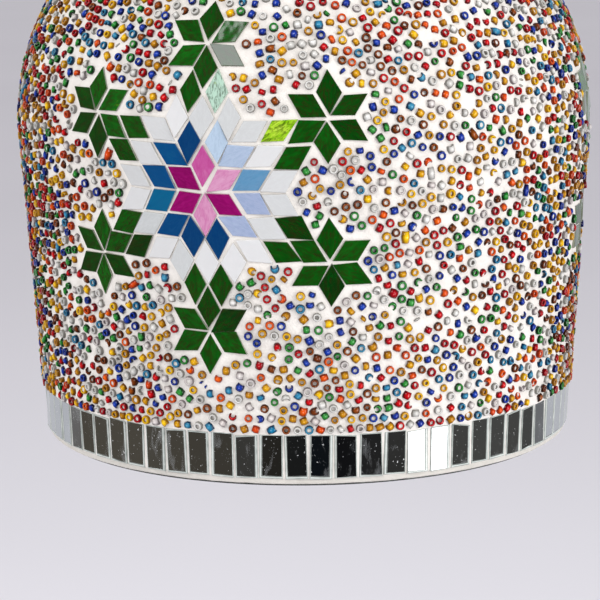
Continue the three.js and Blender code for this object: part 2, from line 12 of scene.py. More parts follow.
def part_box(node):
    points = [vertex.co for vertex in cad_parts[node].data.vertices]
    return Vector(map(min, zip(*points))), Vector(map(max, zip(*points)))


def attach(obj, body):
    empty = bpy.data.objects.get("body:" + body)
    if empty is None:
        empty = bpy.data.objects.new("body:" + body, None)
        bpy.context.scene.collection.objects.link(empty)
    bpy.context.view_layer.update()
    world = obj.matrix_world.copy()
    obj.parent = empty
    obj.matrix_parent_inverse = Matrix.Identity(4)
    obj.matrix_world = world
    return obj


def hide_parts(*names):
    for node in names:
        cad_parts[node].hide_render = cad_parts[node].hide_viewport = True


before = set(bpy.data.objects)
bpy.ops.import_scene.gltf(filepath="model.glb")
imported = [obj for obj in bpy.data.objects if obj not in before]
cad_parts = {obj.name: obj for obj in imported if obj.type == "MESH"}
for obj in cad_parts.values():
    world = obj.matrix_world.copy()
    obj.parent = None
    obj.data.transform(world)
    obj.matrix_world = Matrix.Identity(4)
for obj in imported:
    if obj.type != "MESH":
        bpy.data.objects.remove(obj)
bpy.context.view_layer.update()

MM = 0.001
TURN = 2 * math.pi
RIM_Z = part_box("glass_shell")[0].z

# ---- The dome's outline, as in the part ----
RIM_RADIUS = 131 * MM
SHOULDER_RADIUS = 140 * MM
SHOULDER_RISE = 160 * MM
DOME_RISE = 125.5 * MM
WALL_LOW = 0.2
WALL_HIGH = 0.93
GLASS_WALL = 3 * MM

# ---- Layers, out from the glass ----
PLASTER_IN = 0.3 * MM
LIP_OUT = 2.5 * MM
MOSAIC_IN = 2.3 * MM
MIRROR_FACE = 3.6 * MM
MIRROR_BED = 3.1 * MM
SKIN_OUT = 3.65 * MM
TILE_FACE = 4.3 * MM
BEAD_TOP = 5.55 * MM

# ---- Bands, heights above the rim ----
FOOT_RISE = 1.5 * MM
LIP_RISE = 3.9 * MM
MIRROR_LOW = 4.2 * MM
MIRROR_HEIGHT = 21.7 * MM
MIRROR_COUNT = 72
MIRROR_GROUT = 1.4 * MM
CAP_RADIUS = 50 * MM
GLASS_HOLE = 21 * MM
PLASTER_HOLE = 30 * MM
CAP_SHADOW = 41 * MM
BEAD_HOLE = 46.5 * MM

# ---- Medallions ----
MEDALLION_ALONG = 141 * MM
MEDALLION_TURNS = [math.radians(-109 + 120 * n) for n in range(3)]
TILE_PITCH = 12.7 * MM
TILE_GROUT = 0.95 * MM


# ---- Modelling helpers ----
def deselect():
    bpy.ops.object.select_all(action="DESELECT")


def named(name):
    """The object that was just added, under its own name."""
    piece = bpy.context.active_object
    piece.name = name
    piece.data.name = name
    return piece


def activate(piece):
    deselect()
    piece.select_set(True)
    bpy.context.view_layer.objects.active = piece


@contextmanager
def editing(piece):
    activate(piece)
    bpy.ops.object.mode_set(mode="EDIT")
    yield
    bpy.ops.object.mode_set(mode="OBJECT")


def pick(piece, wanted, kind="verts"):
    """In edit mode, selects the vertices, edges or faces that are wanted by place or normal."""
    modes = {"verts": "VERT", "edges": "EDGE", "faces": "FACE"}
    bpy.ops.mesh.select_mode(type=modes[kind])
    bpy.ops.mesh.select_all(action="DESELECT")
    mesh = bmesh.from_edit_mesh(piece.data)
    for part in getattr(mesh, kind):
        if wanted(part):
            part.select_set(True)
    mesh.select_flush_mode()
    bmesh.update_edit_mesh(piece.data)


def settle(piece):
    """Puts the piece's place into its mesh."""
    activate(piece)
    bpy.ops.object.transform_apply(location=True, rotation=True, scale=True)


def smooth(piece, degrees):
    activate(piece)
    bpy.ops.object.shade_smooth_by_angle(angle=math.radians(degrees))


def turned(name, profile, sides):
    """Draws a closed profile of (radius, height) points in edit mode and spins it about Z."""
    deselect()
    bpy.ops.mesh.primitive_plane_add(size=MM)
    piece = named(name)
    with editing(piece):
        bpy.ops.mesh.select_mode(type="VERT")
        bpy.ops.mesh.merge(type="CENTER")
        last = profile[0]
        bpy.ops.transform.translate(value=(last[0], 0, last[1]))
        for point in profile[1:] + profile[:1]:
            move = (point[0] - last[0], 0, point[1] - last[1])
            bpy.ops.mesh.extrude_region_move(TRANSFORM_OT_translate={"value": move})
            last = point
        bpy.ops.mesh.select_all(action="SELECT")
        bpy.ops.mesh.remove_doubles(threshold=MM * 0.001)
        bpy.ops.mesh.spin(steps=sides, angle=TURN, center=(0, 0, 0), axis=(0, 0, 1))
        bpy.ops.mesh.select_all(action="SELECT")
        bpy.ops.mesh.remove_doubles(threshold=MM * 0.002)
        bpy.ops.mesh.normals_make_consistent(inside=False)
    return piece


def arc(centre, radius, start, end, steps):
    """Points of a quarter or other part of a circle in a profile, angles in degrees."""
    turns = [math.radians(start + (end - start) * n / steps) for n in range(steps + 1)]
    return [(centre[0] + radius * math.cos(t), centre[1] + radius * math.sin(t)) for t in turns]


def joined(name, *pieces):
    deselect()
    for piece in pieces:
        piece.select_set(True)
    bpy.context.view_layer.objects.active = pieces[0]
    bpy.ops.object.join()
    return named(name)


# ---- Materials ----
def shade(red, green, blue):
    """A colour given as shown on a screen, 0 to 255."""
    def linear(c):
        c = c / 255
        return c / 12.92 if c <= 0.04045 else ((c + 0.055) / 1.055) ** 2.4
    return (linear(red), linear(green), linear(blue), 1.0)


class Wire:
    """A value in a material. Sums and products of wires add the nodes that work them out."""

    def __init__(self, finish, socket):
        self.finish = finish
        self.socket = socket

    def _with(self, operation, first, second):
        return self.finish.node("Math", {"operation": operation}, [first, second])

    def __add__(self, other):
        return self._with("ADD", self, other)

    def __sub__(self, other):
        return self._with("SUBTRACT", self, other)

    def __rsub__(self, other):
        return self._with("SUBTRACT", other, self)

    def __mul__(self, other):
        return self._with("MULTIPLY", self, other)

    __radd__ = __add__
    __rmul__ = __mul__


class Finish:
    """A material in the making."""

    def __init__(self, name):
        self.material = bpy.data.materials.new(name)
        self.material.use_nodes = True
        self.tree = self.material.node_tree
        self.tree.nodes.clear()
        self.output = self.tree.nodes.new("ShaderNodeOutputMaterial")

    def node(self, kind, settings=None, values=(), output=0):
        """Adds a node, sets it up, and then gives its inputs their values or wires."""
        made = self.tree.nodes.new("ShaderNode" + kind)
        for key, value in (settings or {}).items():
            if key == "stops":
                self._set_stops(made.color_ramp, value)
            else:
                setattr(made, key, value)
        given = values.items() if isinstance(values, dict) else enumerate(values)
        for key, value in given:
            if isinstance(value, Wire):
                self.tree.links.new(value.socket, made.inputs[key])
            else:
                made.inputs[key].default_value = value
        return Wire(self, made.outputs[output])

    @staticmethod
    def _set_stops(ramp, stops):
        while len(ramp.elements) < len(stops):
            ramp.elements.new(1.0)
        for element, (position, color) in zip(ramp.elements, stops):
            element.position = position
            element.color = color

    def place(self):
        return self.node("TexCoord", output=3)

    def trait(self, name):
        return self.node("Attribute", {"attribute_name": name}, output=2)

    def trait_place(self, name):
        return self.node("Attribute", {"attribute_name": name}, output=1)

    def noise(self, scale, detail, vector=None, distortion=0.0):
        values = {"Scale": scale, "Detail": detail, "Distortion": distortion}
        values["Vector"] = vector or self.place()
        return self.node("TexNoise", {}, values)

    def stretched(self, sx, sy, sz, vector=None):
        values = {"Vector": vector or self.place(), "Scale": (sx, sy, sz)}
        return self.node("Mapping", {}, values)

    def ramp(self, wire, *stops):
        return self.node("ValToRGB", {"stops": stops}, {"Fac": wire})

    def mask(self, wire, low, high):
        """0 below low, 1 above high."""
        values = {"Value": wire, "From Min": low, "From Max": high}
        return self.node("MapRange", {"clamp": True}, values)

    def mix(self, share, low, high):
        return self.node("Mix", {"data_type": "RGBA"}, {0: share, 6: low, 7: high}, output=2)

    def bump(self, height, distance, strength):
        return self.node("Bump", {}, {"Height": height, "Distance": distance, "Strength": strength})

    def surface(self, values):
        shader = self.node("BsdfPrincipled", {}, values)
        self.tree.links.new(shader.socket, self.output.inputs["Surface"])
        return self.material


def bead_finish(name, deep_and_shaded, bright, tint):
    """Coloured glass with painted light: painted shade darkens its sides and a painted highlight lightens
    where it faces out, a little different bead by bead.
    """
    glass = Finish(name)
    lit = glass.trait("lit")
    tone = glass.trait("tone")
    own = glass.mix(tone, bright, tint)
    # Painted highlight: a near-white patch where the bead faces straight out of the dome.
    painted_highlight = glass.mix(glass.mask(lit, 0.93, 1.0) * 0.4, own, shade(250, 246, 238))
    # Painted shade: the bead's colour darkens to its deep colour where it turns away to its sides.
    body = glass.mix(glass.mask(lit, 0.52, 0.97), deep_and_shaded, painted_highlight)
    return glass.surface({
        "Base Color": glass.mix(tone * 0.22, body, deep_and_shaded),
        "Roughness": tone * 0.08 + 0.07,
        "IOR": 1.52,
    })


def plaster_finish():
    plaster = Finish("white_plaster")
    broad = plaster.noise(38, 4)
    grain = plaster.noise(900, 5)
    smear = plaster.noise(170, 3, distortion=0.6)
    pale = plaster.mix(broad, shade(215, 210, 203), shade(228, 225, 219))
    height = plaster.node("SeparateXYZ", {}, [plaster.place()], output=2)
    # Painted shade: the plaster of the lip under the mirrors turns greyer, standing in for the shade that
    # falls there.
    low = 1 - plaster.mask(height, RIM_Z + 3.4 * MM, RIM_Z + 5 * MM)
    pale = plaster.mix(low, pale, plaster.mix(smear, shade(184, 180, 172), shade(206, 203, 196)))
    dusty = plaster.mix(plaster.mask(smear, 0.52, 0.72) * 0.4, pale, shade(202, 196, 188))
    return plaster.surface({
        "Base Color": dusty,
        "Roughness": grain * 0.2 + 0.72,
        "Specular IOR Level": 0.3,
        "Normal": plaster.bump(grain + smear * 1.5, 0.35 * MM, 0.8),
    })


def sheet_glass_finish(name, stops, streak, share, spread):
    """Cut sheet glass: a tone for each tile drawn out into streaks, a polished face and ground sides."""
    glass = Finish(name)
    cut = glass.trait_place("cut")
    tone = glass.trait("tone")
    face = glass.mask(glass.trait("face"), 0.55, 0.95)
    flow = glass.noise(1.0, 4, glass.stretched(0.1, 0.3, 0.3, cut), distortion=1.6)
    wisps = glass.noise(1.0, 3, glass.stretched(0.3, 0.9, 0.6, cut), distortion=1.2)
    base = glass.ramp(tone + (flow - 0.5) * spread, *stops)
    streaked = glass.mix(glass.mask(wisps, 0.44, 0.64) * share, base, streak)
    side = glass.mix(0.45, shade(172, 168, 158), base)
    wave = glass.noise(160, 1)
    return glass.surface({
        "Base Color": glass.mix(face, side, streaked),
        "Roughness": wisps * 0.06 + 0.06,
        "IOR": 1.5,
        "Normal": glass.bump(wave, 0.3 * MM, 0.5),
    })


def mirror_finish():
    """Silvered glass, with a margin where the clear glass shows its cut edges as pale and dark lines."""
    mirror = Finish("mirror_strip")
    silver = mirror.trait("silver")
    backed = mirror.mask(silver, 0.9, 0.94)
    specks = mirror.mask(mirror.noise(900, 5), 0.66, 0.72)
    smear = mirror.noise(1.0, 4, mirror.stretched(160, 160, 60), distortion=1.0)
    dim = mirror.mix(specks * 0.8, shade(206, 210, 212), shade(236, 238, 238))
    clear = mirror.mix(mirror.noise(240, 3), shade(96, 106, 102), shade(196, 202, 196))
    dark_line = mirror.mask(silver, 0.66, 0.72) - mirror.mask(silver, 0.84, 0.9)
    pale_line = mirror.mask(silver, 0.22, 0.3) - mirror.mask(silver, 0.4, 0.48)
    margin = mirror.mix(dark_line * 0.9, clear, shade(40, 45, 42))
    margin = mirror.mix(pale_line * 0.8, margin, shade(226, 232, 228))
    dusty = mirror.mask(smear, 0.58, 0.75) * 0.16 + specks * 0.5
    return mirror.surface({
        "Base Color": mirror.mix(backed, margin, dim),
        "Metallic": backed - backed * dusty,
        "Roughness": 0.22 - backed * 0.2 + specks * 0.3,
        "Normal": mirror.bump(mirror.noise(70, 1), 0.15 * MM, 0.3),
    })


def clear_glass_finish():
    glass = Finish("clear_glass")
    film = glass.noise(60, 3)
    height = glass.node("SeparateXYZ", {}, [glass.place()], output=2)
    rim = 1 - glass.mask(height, RIM_Z + 0.9 * MM, RIM_Z + 2.2 * MM)
    body = glass.mix(film, shade(232, 240, 238), shade(246, 250, 249))
    return glass.surface({
        "Base Color": glass.mix(rim, body, shade(104, 106, 104)),
        "Roughness": film * 0.08 + 0.02,
        "IOR": 1.5,
        "Transmission Weight": 0.6,
        "Normal": glass.bump(glass.noise(45, 2), 0.4 * MM, 0.2),
    })


def aged_brass_finish(name, bright, dark, rough=0.28):
    """Lacquered brass with tarnish in patches and fine lines left by turning."""
    brass = Finish(name)
    patches = brass.mask(brass.noise(55, 5, distortion=0.5), 0.42, 0.68)
    lines = brass.noise(1.0, 2, brass.stretched(30, 30, 2600))
    fleck = brass.noise(700, 3)
    tarnished = brass.mix(patches * 0.75, bright, dark)
    return brass.surface({
        "Base Color": brass.mix(brass.mask(fleck, 0.62, 0.8) * 0.5, tarnished, dark),
        "Metallic": 1.0,
        "Roughness": patches * 0.16 + lines * 0.1 + rough,
        "Normal": brass.bump(lines * 0.5 + fleck * 0.3, 0.05 * MM, 0.5),
    })


def steel_finish():
    steel = Finish("zinc_steel")
    crystals = steel.node("TexVoronoi", {}, {"Vector": steel.place(), "Scale": 420.0}, output=1)
    bright = steel.mix(0.35, shade(178, 180, 182), crystals)
    return steel.surface({
        "Base Color": steel.mix(steel.noise(120, 3), bright, shade(150, 152, 156)),
        "Metallic": 1.0,
        "Roughness": steel.noise(500, 3) * 0.2 + 0.3,
        "Normal": steel.bump(steel.noise(900, 2), 0.05 * MM, 0.4),
    })


def moulded_finish(name, dark, light, rough, grain_size=800):
    """Moulded rubber, plastic or glaze with a fine grain."""
    moulded = Finish(name)
    grain = moulded.noise(grain_size, 3)
    return moulded.surface({
        "Base Color": moulded.mix(moulded.noise(90, 3), dark, light),
        "Roughness": grain * 0.15 + rough,
        "Normal": moulded.bump(grain, 0.05 * MM, 0.5),
    })


def opal_finish():
    opal = Finish("opal_glass")
    cloud = opal.noise(35, 3)
    return opal.surface({
        "Base Color": opal.mix(cloud, shade(240, 237, 229), shade(250, 249, 245)),
        "Roughness": cloud * 0.1 + 0.16,
        "Coat Weight": 0.5,
        "Coat Roughness": 0.06,
        "Normal": opal.bump(opal.noise(300, 2), 0.03 * MM, 0.3),
    })


def threaded_finish(name, bright, dark, pitch):
    """Bright sheet metal with a rolled thread."""
    metal = Finish(name)
    settings = {"wave_type": "BANDS", "bands_direction": "Z", "wave_profile": "SIN"}
    thread = metal.node("TexWave", settings, {"Vector": metal.place(), "Scale": TURN / pitch / 20})
    return metal.surface({
        "Base Color": metal.mix(metal.noise(150, 3), bright, dark),
        "Metallic": 1.0,
        "Roughness": metal.noise(600, 2) * 0.15 + 0.25,
        "Normal": metal.bump(thread, 0.4 * MM, 0.8),
    })


PLASTER = plaster_finish()
CLEAR_GLASS = clear_glass_finish()
MIRROR = mirror_finish()
BRASS = aged_brass_finish("aged_brass", shade(196, 158, 84), shade(104, 74, 34))
CONTACT_BRASS = aged_brass_finish("contact_brass", shade(214, 180, 104), shade(150, 116, 60), 0.2)
STEEL = steel_finish()
RUBBER = moulded_finish("seal_rubber", shade(30, 30, 32), shade(52, 51, 52), 0.7)
BLACK_PLASTIC = moulded_finish("black_plastic", shade(20, 20, 22), shade(34, 33, 35), 0.35)
PORCELAIN = moulded_finish("porcelain", shade(232, 229, 220), shade(247, 245, 239), 0.18, 300)
BLACK_GLASS = moulded_finish("black_glass", shade(14, 14, 18), shade(34, 32, 38), 0.12, 400)
OPAL = opal_finish()
CAP_METAL = threaded_finish("cap_aluminium", shade(206, 207, 208), shade(168, 170, 174), 3.6 * MM)
PIPE_METAL = threaded_finish("zinc_thread", shade(190, 188, 178), shade(146, 144, 138), 1.0 * MM)

# Each bead colour: its share, its colour at the sides with painted shade, its colour facing out, and where
# it varies.
BEADS = {
    "clear": (0.14, shade(122, 120, 114), shade(234, 233, 229), shade(220, 219, 214)),
    "frosted": (0.05, shade(112, 104, 104), shade(222, 218, 214), shade(234, 226, 220)),
    "gold": (0.15, shade(104, 62, 2), shade(222, 166, 24), shade(196, 132, 14)),
    "yellow": (0.1, shade(140, 96, 2), shade(248, 204, 30), shade(236, 176, 16)),
    "orange": (0.1, shade(120, 28, 2), shade(238, 100, 14), shade(224, 76, 20)),
    "red": (0.13, shade(84, 0, 4), shade(212, 18, 22), shade(186, 6, 28)),
    "amber": (0.08, shade(50, 18, 4), shade(158, 80, 22), shade(118, 54, 18)),
    "cobalt": (0.11, shade(2, 8, 56), shade(28, 68, 176), shade(34, 62, 168)),
    "teal": (0.07, shade(2, 38, 66), shade(30, 126, 168), shade(84, 168, 200)),
    "green": (0.1, shade(0, 38, 8), shade(40, 138, 50), shade(72, 170, 76)),
}
BEAD_FINISHES = {name: bead_finish("bead_" + name, *looks[1:]) for name, looks in BEADS.items()}

STAR_GLASS = sheet_glass_finish(
    "magenta_glass",
    [(0.0, shade(104, 2, 70)), (0.3, shade(138, 4, 94)),
     (0.6, shade(176, 78, 140)), (1.0, shade(200, 152, 180))],
    shade(158, 24, 112), 0.25, 0.4,
)
BLUE_GLASS = sheet_glass_finish(
    "blue_glass",
    [(0.0, shade(0, 40, 86)), (0.3, shade(0, 64, 114)), (0.44, shade(4, 90, 126)),
     (0.62, shade(80, 130, 164)), (0.85, shade(146, 158, 186)), (1.0, shade(166, 184, 202))],
    shade(34, 84, 120), 0.14, 0.1,
)
PALE_GLASS = sheet_glass_finish(
    "pale_glass",
    [(0.0, shade(180, 183, 183)), (0.5, shade(192, 193, 193)), (1.0, shade(208, 208, 208))],
    shade(200, 204, 204), 0.3, 0.2,
)
GREEN_GLASS = sheet_glass_finish(
    "green_glass",
    [(0.0, shade(4, 38, 8)), (0.3, shade(6, 66, 8)), (0.55, shade(12, 92, 16)),
     (0.7, shade(120, 176, 10)), (0.86, shade(176, 208, 60)), (1.0, shade(168, 198, 180))],
    shade(36, 34, 10), 0.7, 0.5,
)


# ---- The dome's surface ----
def sample_outline():
    """Distance along the glass from its rim, radius, height above the rim, and the way up, in rows."""
    t = np.linspace(0, 1, 800)[:, None]
    handles = np.array([
        (RIM_RADIUS, 0),
        (RIM_RADIUS, SHOULDER_RISE * WALL_LOW),
        (SHOULDER_RADIUS, SHOULDER_RISE * WALL_HIGH),
        (SHOULDER_RADIUS, SHOULDER_RISE),
    ])
    shares = np.hstack([(1 - t) ** 3, 3 * t * (1 - t) ** 2, 3 * t**2 * (1 - t), t**3])
    wall = shares @ handles
    turn = np.linspace(0, math.pi / 2, 800)[1:]
    crown = np.column_stack([SHOULDER_RADIUS * np.cos(turn), SHOULDER_RISE + DOME_RISE * np.sin(turn)])
    points = np.vstack([wall, crown])
    along = np.concatenate([[0], np.cumsum(np.hypot(*np.diff(points, axis=0).T))])
    way = np.gradient(points, along, axis=0)
    way /= np.hypot(*way.T)[:, None]
    return along, points, way


ALONG, OUTLINE, WAY_UP = sample_outline()


def on_outline(along, out):
    """Radius and height (row frame) at a distance along the glass and a distance out from it."""
    r, z = (np.interp(along, ALONG, OUTLINE[:, n]) for n in (0, 1))
    ur, uz = (np.interp(along, ALONG, WAY_UP[:, n]) for n in (0, 1))
    return r + out * uz, z - out * ur + RIM_Z


def along_at_rise(rise):
    return float(np.interp(rise, OUTLINE[:, 1], ALONG))


def along_at_radius(radius):
    wall = int(np.argmax(OUTLINE[:, 1] >= SHOULDER_RISE))
    return float(np.interp(-radius, -OUTLINE[wall:, 0], ALONG[wall:]))


def outline_points(start, end, out, steps):
    """A stretch of the outline as a list of profile points."""
    r, z = on_outline(np.linspace(start, end, steps + 1), out)
    return list(zip(r.tolist(), z.tolist()))


def on_dome(angle, along, out):
    """Places on the dome, and for each the ways round it, up it and out of it, as columns."""
    r, z = on_outline(along, out)
    ur, uz = (np.interp(along, ALONG, WAY_UP[:, n]) for n in (0, 1))
    c, s = np.cos(angle), np.sin(angle)
    centres = np.column_stack([r * c, r * s, z])
    around = np.column_stack([-s, c, np.zeros_like(c)])
    up = np.column_stack([ur * c, ur * s, uz])
    outward = np.column_stack([uz * c, uz * s, -ur])
    return centres, np.stack([around, up, outward], axis=2)


# ---- Copies of a modelled shape ----
def shape_of(piece):
    """Vertices, normals and faces of a modelled shape, which is then put away."""
    mesh = piece.data
    verts = np.array([v.co for v in mesh.vertices])
    normals = np.array([v.normal for v in mesh.vertices])
    loops = np.array([loop.vertex_index for loop in mesh.loops])
    starts = np.array([face.loop_start for face in mesh.polygons])
    bpy.data.objects.remove(piece)
    return verts, normals, loops, starts


def spun(turns, axis):
    """Turning matrices about one axis, one for each angle."""
    c, s = np.cos(turns), np.sin(turns)
    made = np.tile(np.eye(3), (len(turns), 1, 1))
    a, b = [(1, 2), (2, 0), (0, 1)][axis]
    made[:, a, a], made[:, b, b] = c, c
    made[:, a, b], made[:, b, a] = -s, s
    return made


def copies(name, shape, centres, axes, own, traits=None, places=None, flat=False):
    """One piece made of copies of a shape, each with its centre, its axes as columns and its own points."""
    verts, _, loops, starts = shape
    count, size = len(centres), len(verts)
    points = np.einsum("nij,nvj->nvi", axes, own) + centres[:, None, :]
    shift = (np.arange(count) * size)[:, None]
    mesh = bpy.data.meshes.new(name)
    mesh.vertices.add(count * size)
    mesh.vertices.foreach_set("co", points.astype(np.float32).ravel())
    mesh.loops.add(count * len(loops))
    mesh.loops.foreach_set("vertex_index", (loops + shift).ravel())
    mesh.polygons.add(count * len(starts))
    turn = (np.arange(count) * len(loops))[:, None]
    mesh.polygons.foreach_set("loop_start", (starts + turn).ravel())
    mesh.update(calc_edges=True)
    mesh.validate()
    for key, values in (traits or {}).items():
        values = np.broadcast_to(values, (count, size)).astype(np.float32)
        mesh.attributes.new(key, "FLOAT", "POINT").data.foreach_set("value", values.ravel())
    if places is not None:
        stored = mesh.attributes.new("cut", "FLOAT_VECTOR", "POINT")
        stored.data.foreach_set("vector", places.astype(np.float32).ravel())
    mesh.polygons.foreach_set("use_smooth", np.full(len(mesh.polygons), not flat))
    piece = bpy.data.objects.new(name, mesh)
    bpy.context.scene.collection.objects.link(piece)
    return piece


def finished(piece, material, body, slot, *nodes):
    """Gives a piece its finish, its body, and the nodes that it stands for."""
    piece.data.materials.clear()
    piece.data.materials.append(material)
    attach(piece, body)
    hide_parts(*nodes)


def fitting(name, profile, sides, degrees, material, slot, node, body="lamp"):
    """A turned piece that stands for a node."""
    piece = turned(name, profile, sides)
    smooth(piece, degrees)
    finished(piece, material, body, slot, node)


# ---- Camera, light and floor ----
CAMERA_PLACE = (-3.2 * MM, -1.215, -85.3 * MM)
CAMERA_PITCH = 79.16
CAMERA_ROLL = -0.6
CAMERA_LENS = 143.5
FLOOR_DROP = 0.62
FLOOR_WIDTH = 160


def make_camera():
    data = bpy.data.cameras.new("camera")
    data.lens = CAMERA_LENS
    data.sensor_width = 36
    data.clip_end = 50
    camera = bpy.data.objects.new("camera", data)
    bpy.context.scene.collection.objects.link(camera)
    pitch = Matrix.Rotation(math.radians(CAMERA_PITCH), 4, "X")
    roll = Matrix.Rotation(math.radians(CAMERA_ROLL), 4, "Z")
    camera.matrix_world = Matrix.Translation(CAMERA_PLACE) @ pitch @ roll
    bpy.context.scene.camera = camera


def make_softbox(name, place, aim, width, height, power, seen=True):
    data = bpy.data.lights.new(name, "AREA")
    data.shape = "RECTANGLE"
    data.size = width
    data.size_y = height
    data.energy = power
    light = bpy.data.objects.new(name, data)
    bpy.context.scene.collection.objects.link(light)
    light.visible_glossy = seen
    light.location = place
    light.rotation_euler = (Vector(aim) - Vector(place)).to_track_quat("-Z", "Y").to_euler()


def make_floor():
    deselect()
    floor_z = RIM_Z - FLOOR_DROP
    bpy.ops.mesh.primitive_plane_add(size=FLOOR_WIDTH, location=(0, 0, floor_z))
    floor = named("studio_floor")
    settle(floor)
    paint = Finish("floor_paper")
    cloud = paint.noise(0.6, 2)
    paper = paint.node("BsdfPrincipled", {}, {
        "Base Color": paint.mix(cloud, shade(228, 228, 233), shade(237, 237, 242)),
        "Roughness": paint.noise(40, 2) * 0.1 + 0.85,
        "Specular IOR Level": 0.1,
    })
    clear = paint.node("BsdfTransparent")
    under = paint.node("NewGeometry", output=6)
    both = paint.node("MixShader", {}, {0: under, 1: paper, 2: clear})
    paint.tree.links.new(both.socket, paint.output.inputs["Surface"])
    floor.data.materials.append(paint.material)
    floor.visible_glossy = False


def make_room():
    """A pale studio, which polished faces see as a dark room with a pale back wall."""
    world = bpy.data.worlds.new("studio")
    bpy.context.scene.world = world
    world.use_nodes = True
    tree = world.node_tree
    tree.nodes.clear()
    room = Finish.__new__(Finish)
    room.tree = tree
    room.output = tree.nodes.new("ShaderNodeOutputWorld")
    way = room.node("TexCoord", output=0)
    depth = room.node("SeparateXYZ", {}, [way], output=1)
    murk = room.noise(2.2, 4, way, distortion=0.4)
    side = room.node("SeparateXYZ", {}, [way], output=0)
    gloom = room.ramp(
        side * 0.5 + 0.5,
        (0.0, (0.11, 0.095, 0.075, 1)), (0.4, (0.022, 0.02, 0.017, 1)), (0.5, (0.006, 0.01, 0.014, 1)),
        (0.62, (0.008, 0.008, 0.009, 1)), (1.0, (0.09, 0.086, 0.08, 1)),
    )
    dark = room.mix(room.mask(murk, 0.5, 0.8) * 0.6, gloom, (0.1, 0.1, 0.1, 1))
    seen = room.mix(room.mask(depth, 0.45, 0.65), dark, (0.62, 0.62, 0.66, 1))
    plain = (0.64, 0.62, 0.64, 1)
    glossy = room.node("LightPath", output=3)
    colour = room.mix(glossy, plain, seen)
    sky = room.node("Background", {}, {"Color": colour, "Strength": 1.0})
    tree.links.new(sky.socket, room.output.inputs["Surface"])


bpy.context.scene.view_settings.view_transform = "Standard"
make_camera()
make_floor()
make_room()
make_softbox("window", (1.1, -0.9, -0.42), (0, 0, -0.36), 0.44, 1.2, 8)
make_softbox("key", (-0.8, -1.8, 1.2), (0, 0, -0.25), 0.9, 0.9, 18)
make_softbox("fill", (1.5, -1.5, 0.9), (0, 0, -0.3), 1.4, 1.2, 20, seen=False)
make_softbox("side", (-1.9, -0.5, 0.1), (0, 0, -0.3), 1.2, 1.6, 14, seen=False)
make_softbox("top", (0, 0.4, 2.2), (0, 0, -0.3), 2.2, 2.2, 23, seen=False)

# ---- Glass and plaster ----
BEAD_LOW = along_at_rise(MIRROR_LOW + MIRROR_HEIGHT + 0.5 * MM)
BEAD_HIGH = along_at_radius(BEAD_HOLE)
SHELL_END = along_at_radius(GLASS_HOLE)


def make_glass():
    outer = outline_points(0.6 * MM, SHELL_END, 0, 90)
    inner = outline_points(SHELL_END, 0.6 * MM, -GLASS_WALL, 60)
    rim = arc((RIM_RADIUS - GLASS_WALL / 2, RIM_Z + 1.1 * MM), GLASS_WALL / 2, 180, 360, 8)
    rim = [(r, max(z, RIM_Z)) for r, z in rim]
    fitting("glass_dome", outer + inner + rim[1:-1], 144, 50, CLEAR_GLASS, "clear_glass", "glass_shell")


def make_plaster():
    foot = along_at_rise(FOOT_RISE)
    lip = along_at_rise(LIP_RISE)
    hole = along_at_radius(PLASTER_HOLE)
    under_cap = along_at_radius(CAP_SHADOW)
    outer = outline_points(foot + 0.4 * MM, lip, LIP_OUT, 3)
    outer += outline_points(lip + 0.8 * MM, BEAD_LOW - 1.4 * MM, MIRROR_BED, 10)
    outer += outline_points(BEAD_LOW - 0.4 * MM, under_cap, SKIN_OUT, 120)
    outer += outline_points(under_cap + 1 * MM, hole, 2 * MM, 4)
    inner = outline_points(hole, foot, PLASTER_IN, 60)
    heel = outline_points(foot, foot, LIP_OUT - 0.4 * MM, 1)[:1]
    coat = turned("plaster_coat_skin", outer + inner + heel, 200)
    activate(coat)
    texture = bpy.data.textures.new("trowel", "CLOUDS")
    texture.noise_scale = 7 * MM
    texture.noise_depth = 2
    waves = coat.modifiers.new("hand_work", "DISPLACE")
    waves.texture = texture
    waves.texture_coords = "LOCAL"
    waves.strength = 0.55 * MM
    waves.mid_level = 0.5
    bpy.ops.object.modifier_apply(modifier=waves.name)
    smooth(coat, 60)
    finished(coat, PLASTER, "lamp", "white_plaster", "plaster_coat")


make_glass()
make_plaster()


# ---- Mirror strips ----
def strip_shape():
    """A strip of mirror from -1 to 1 each way and 0 to 1 deep, with a margin round its silvered back."""
    deselect()
    bpy.ops.mesh.primitive_plane_add(size=2)
    strip = named("strip")
    with editing(strip):
        bpy.ops.mesh.extrude_region_move(TRANSFORM_OT_translate={"value": (0, 0, 0.8)})
        for inset, rise in ((0.04, 0.2), (0.08, 0)):
            pick(strip, lambda face: face.normal.z > 0.9 and face.calc_center_median().length < 2, "faces")
            bpy.ops.mesh.inset(thickness=inset)
            bpy.ops.transform.translate(value=(0, 0, rise))
        bpy.ops.mesh.select_all(action="SELECT")
        bpy.ops.mesh.normals_make_consistent(inside=False)
    return shape_of(strip)


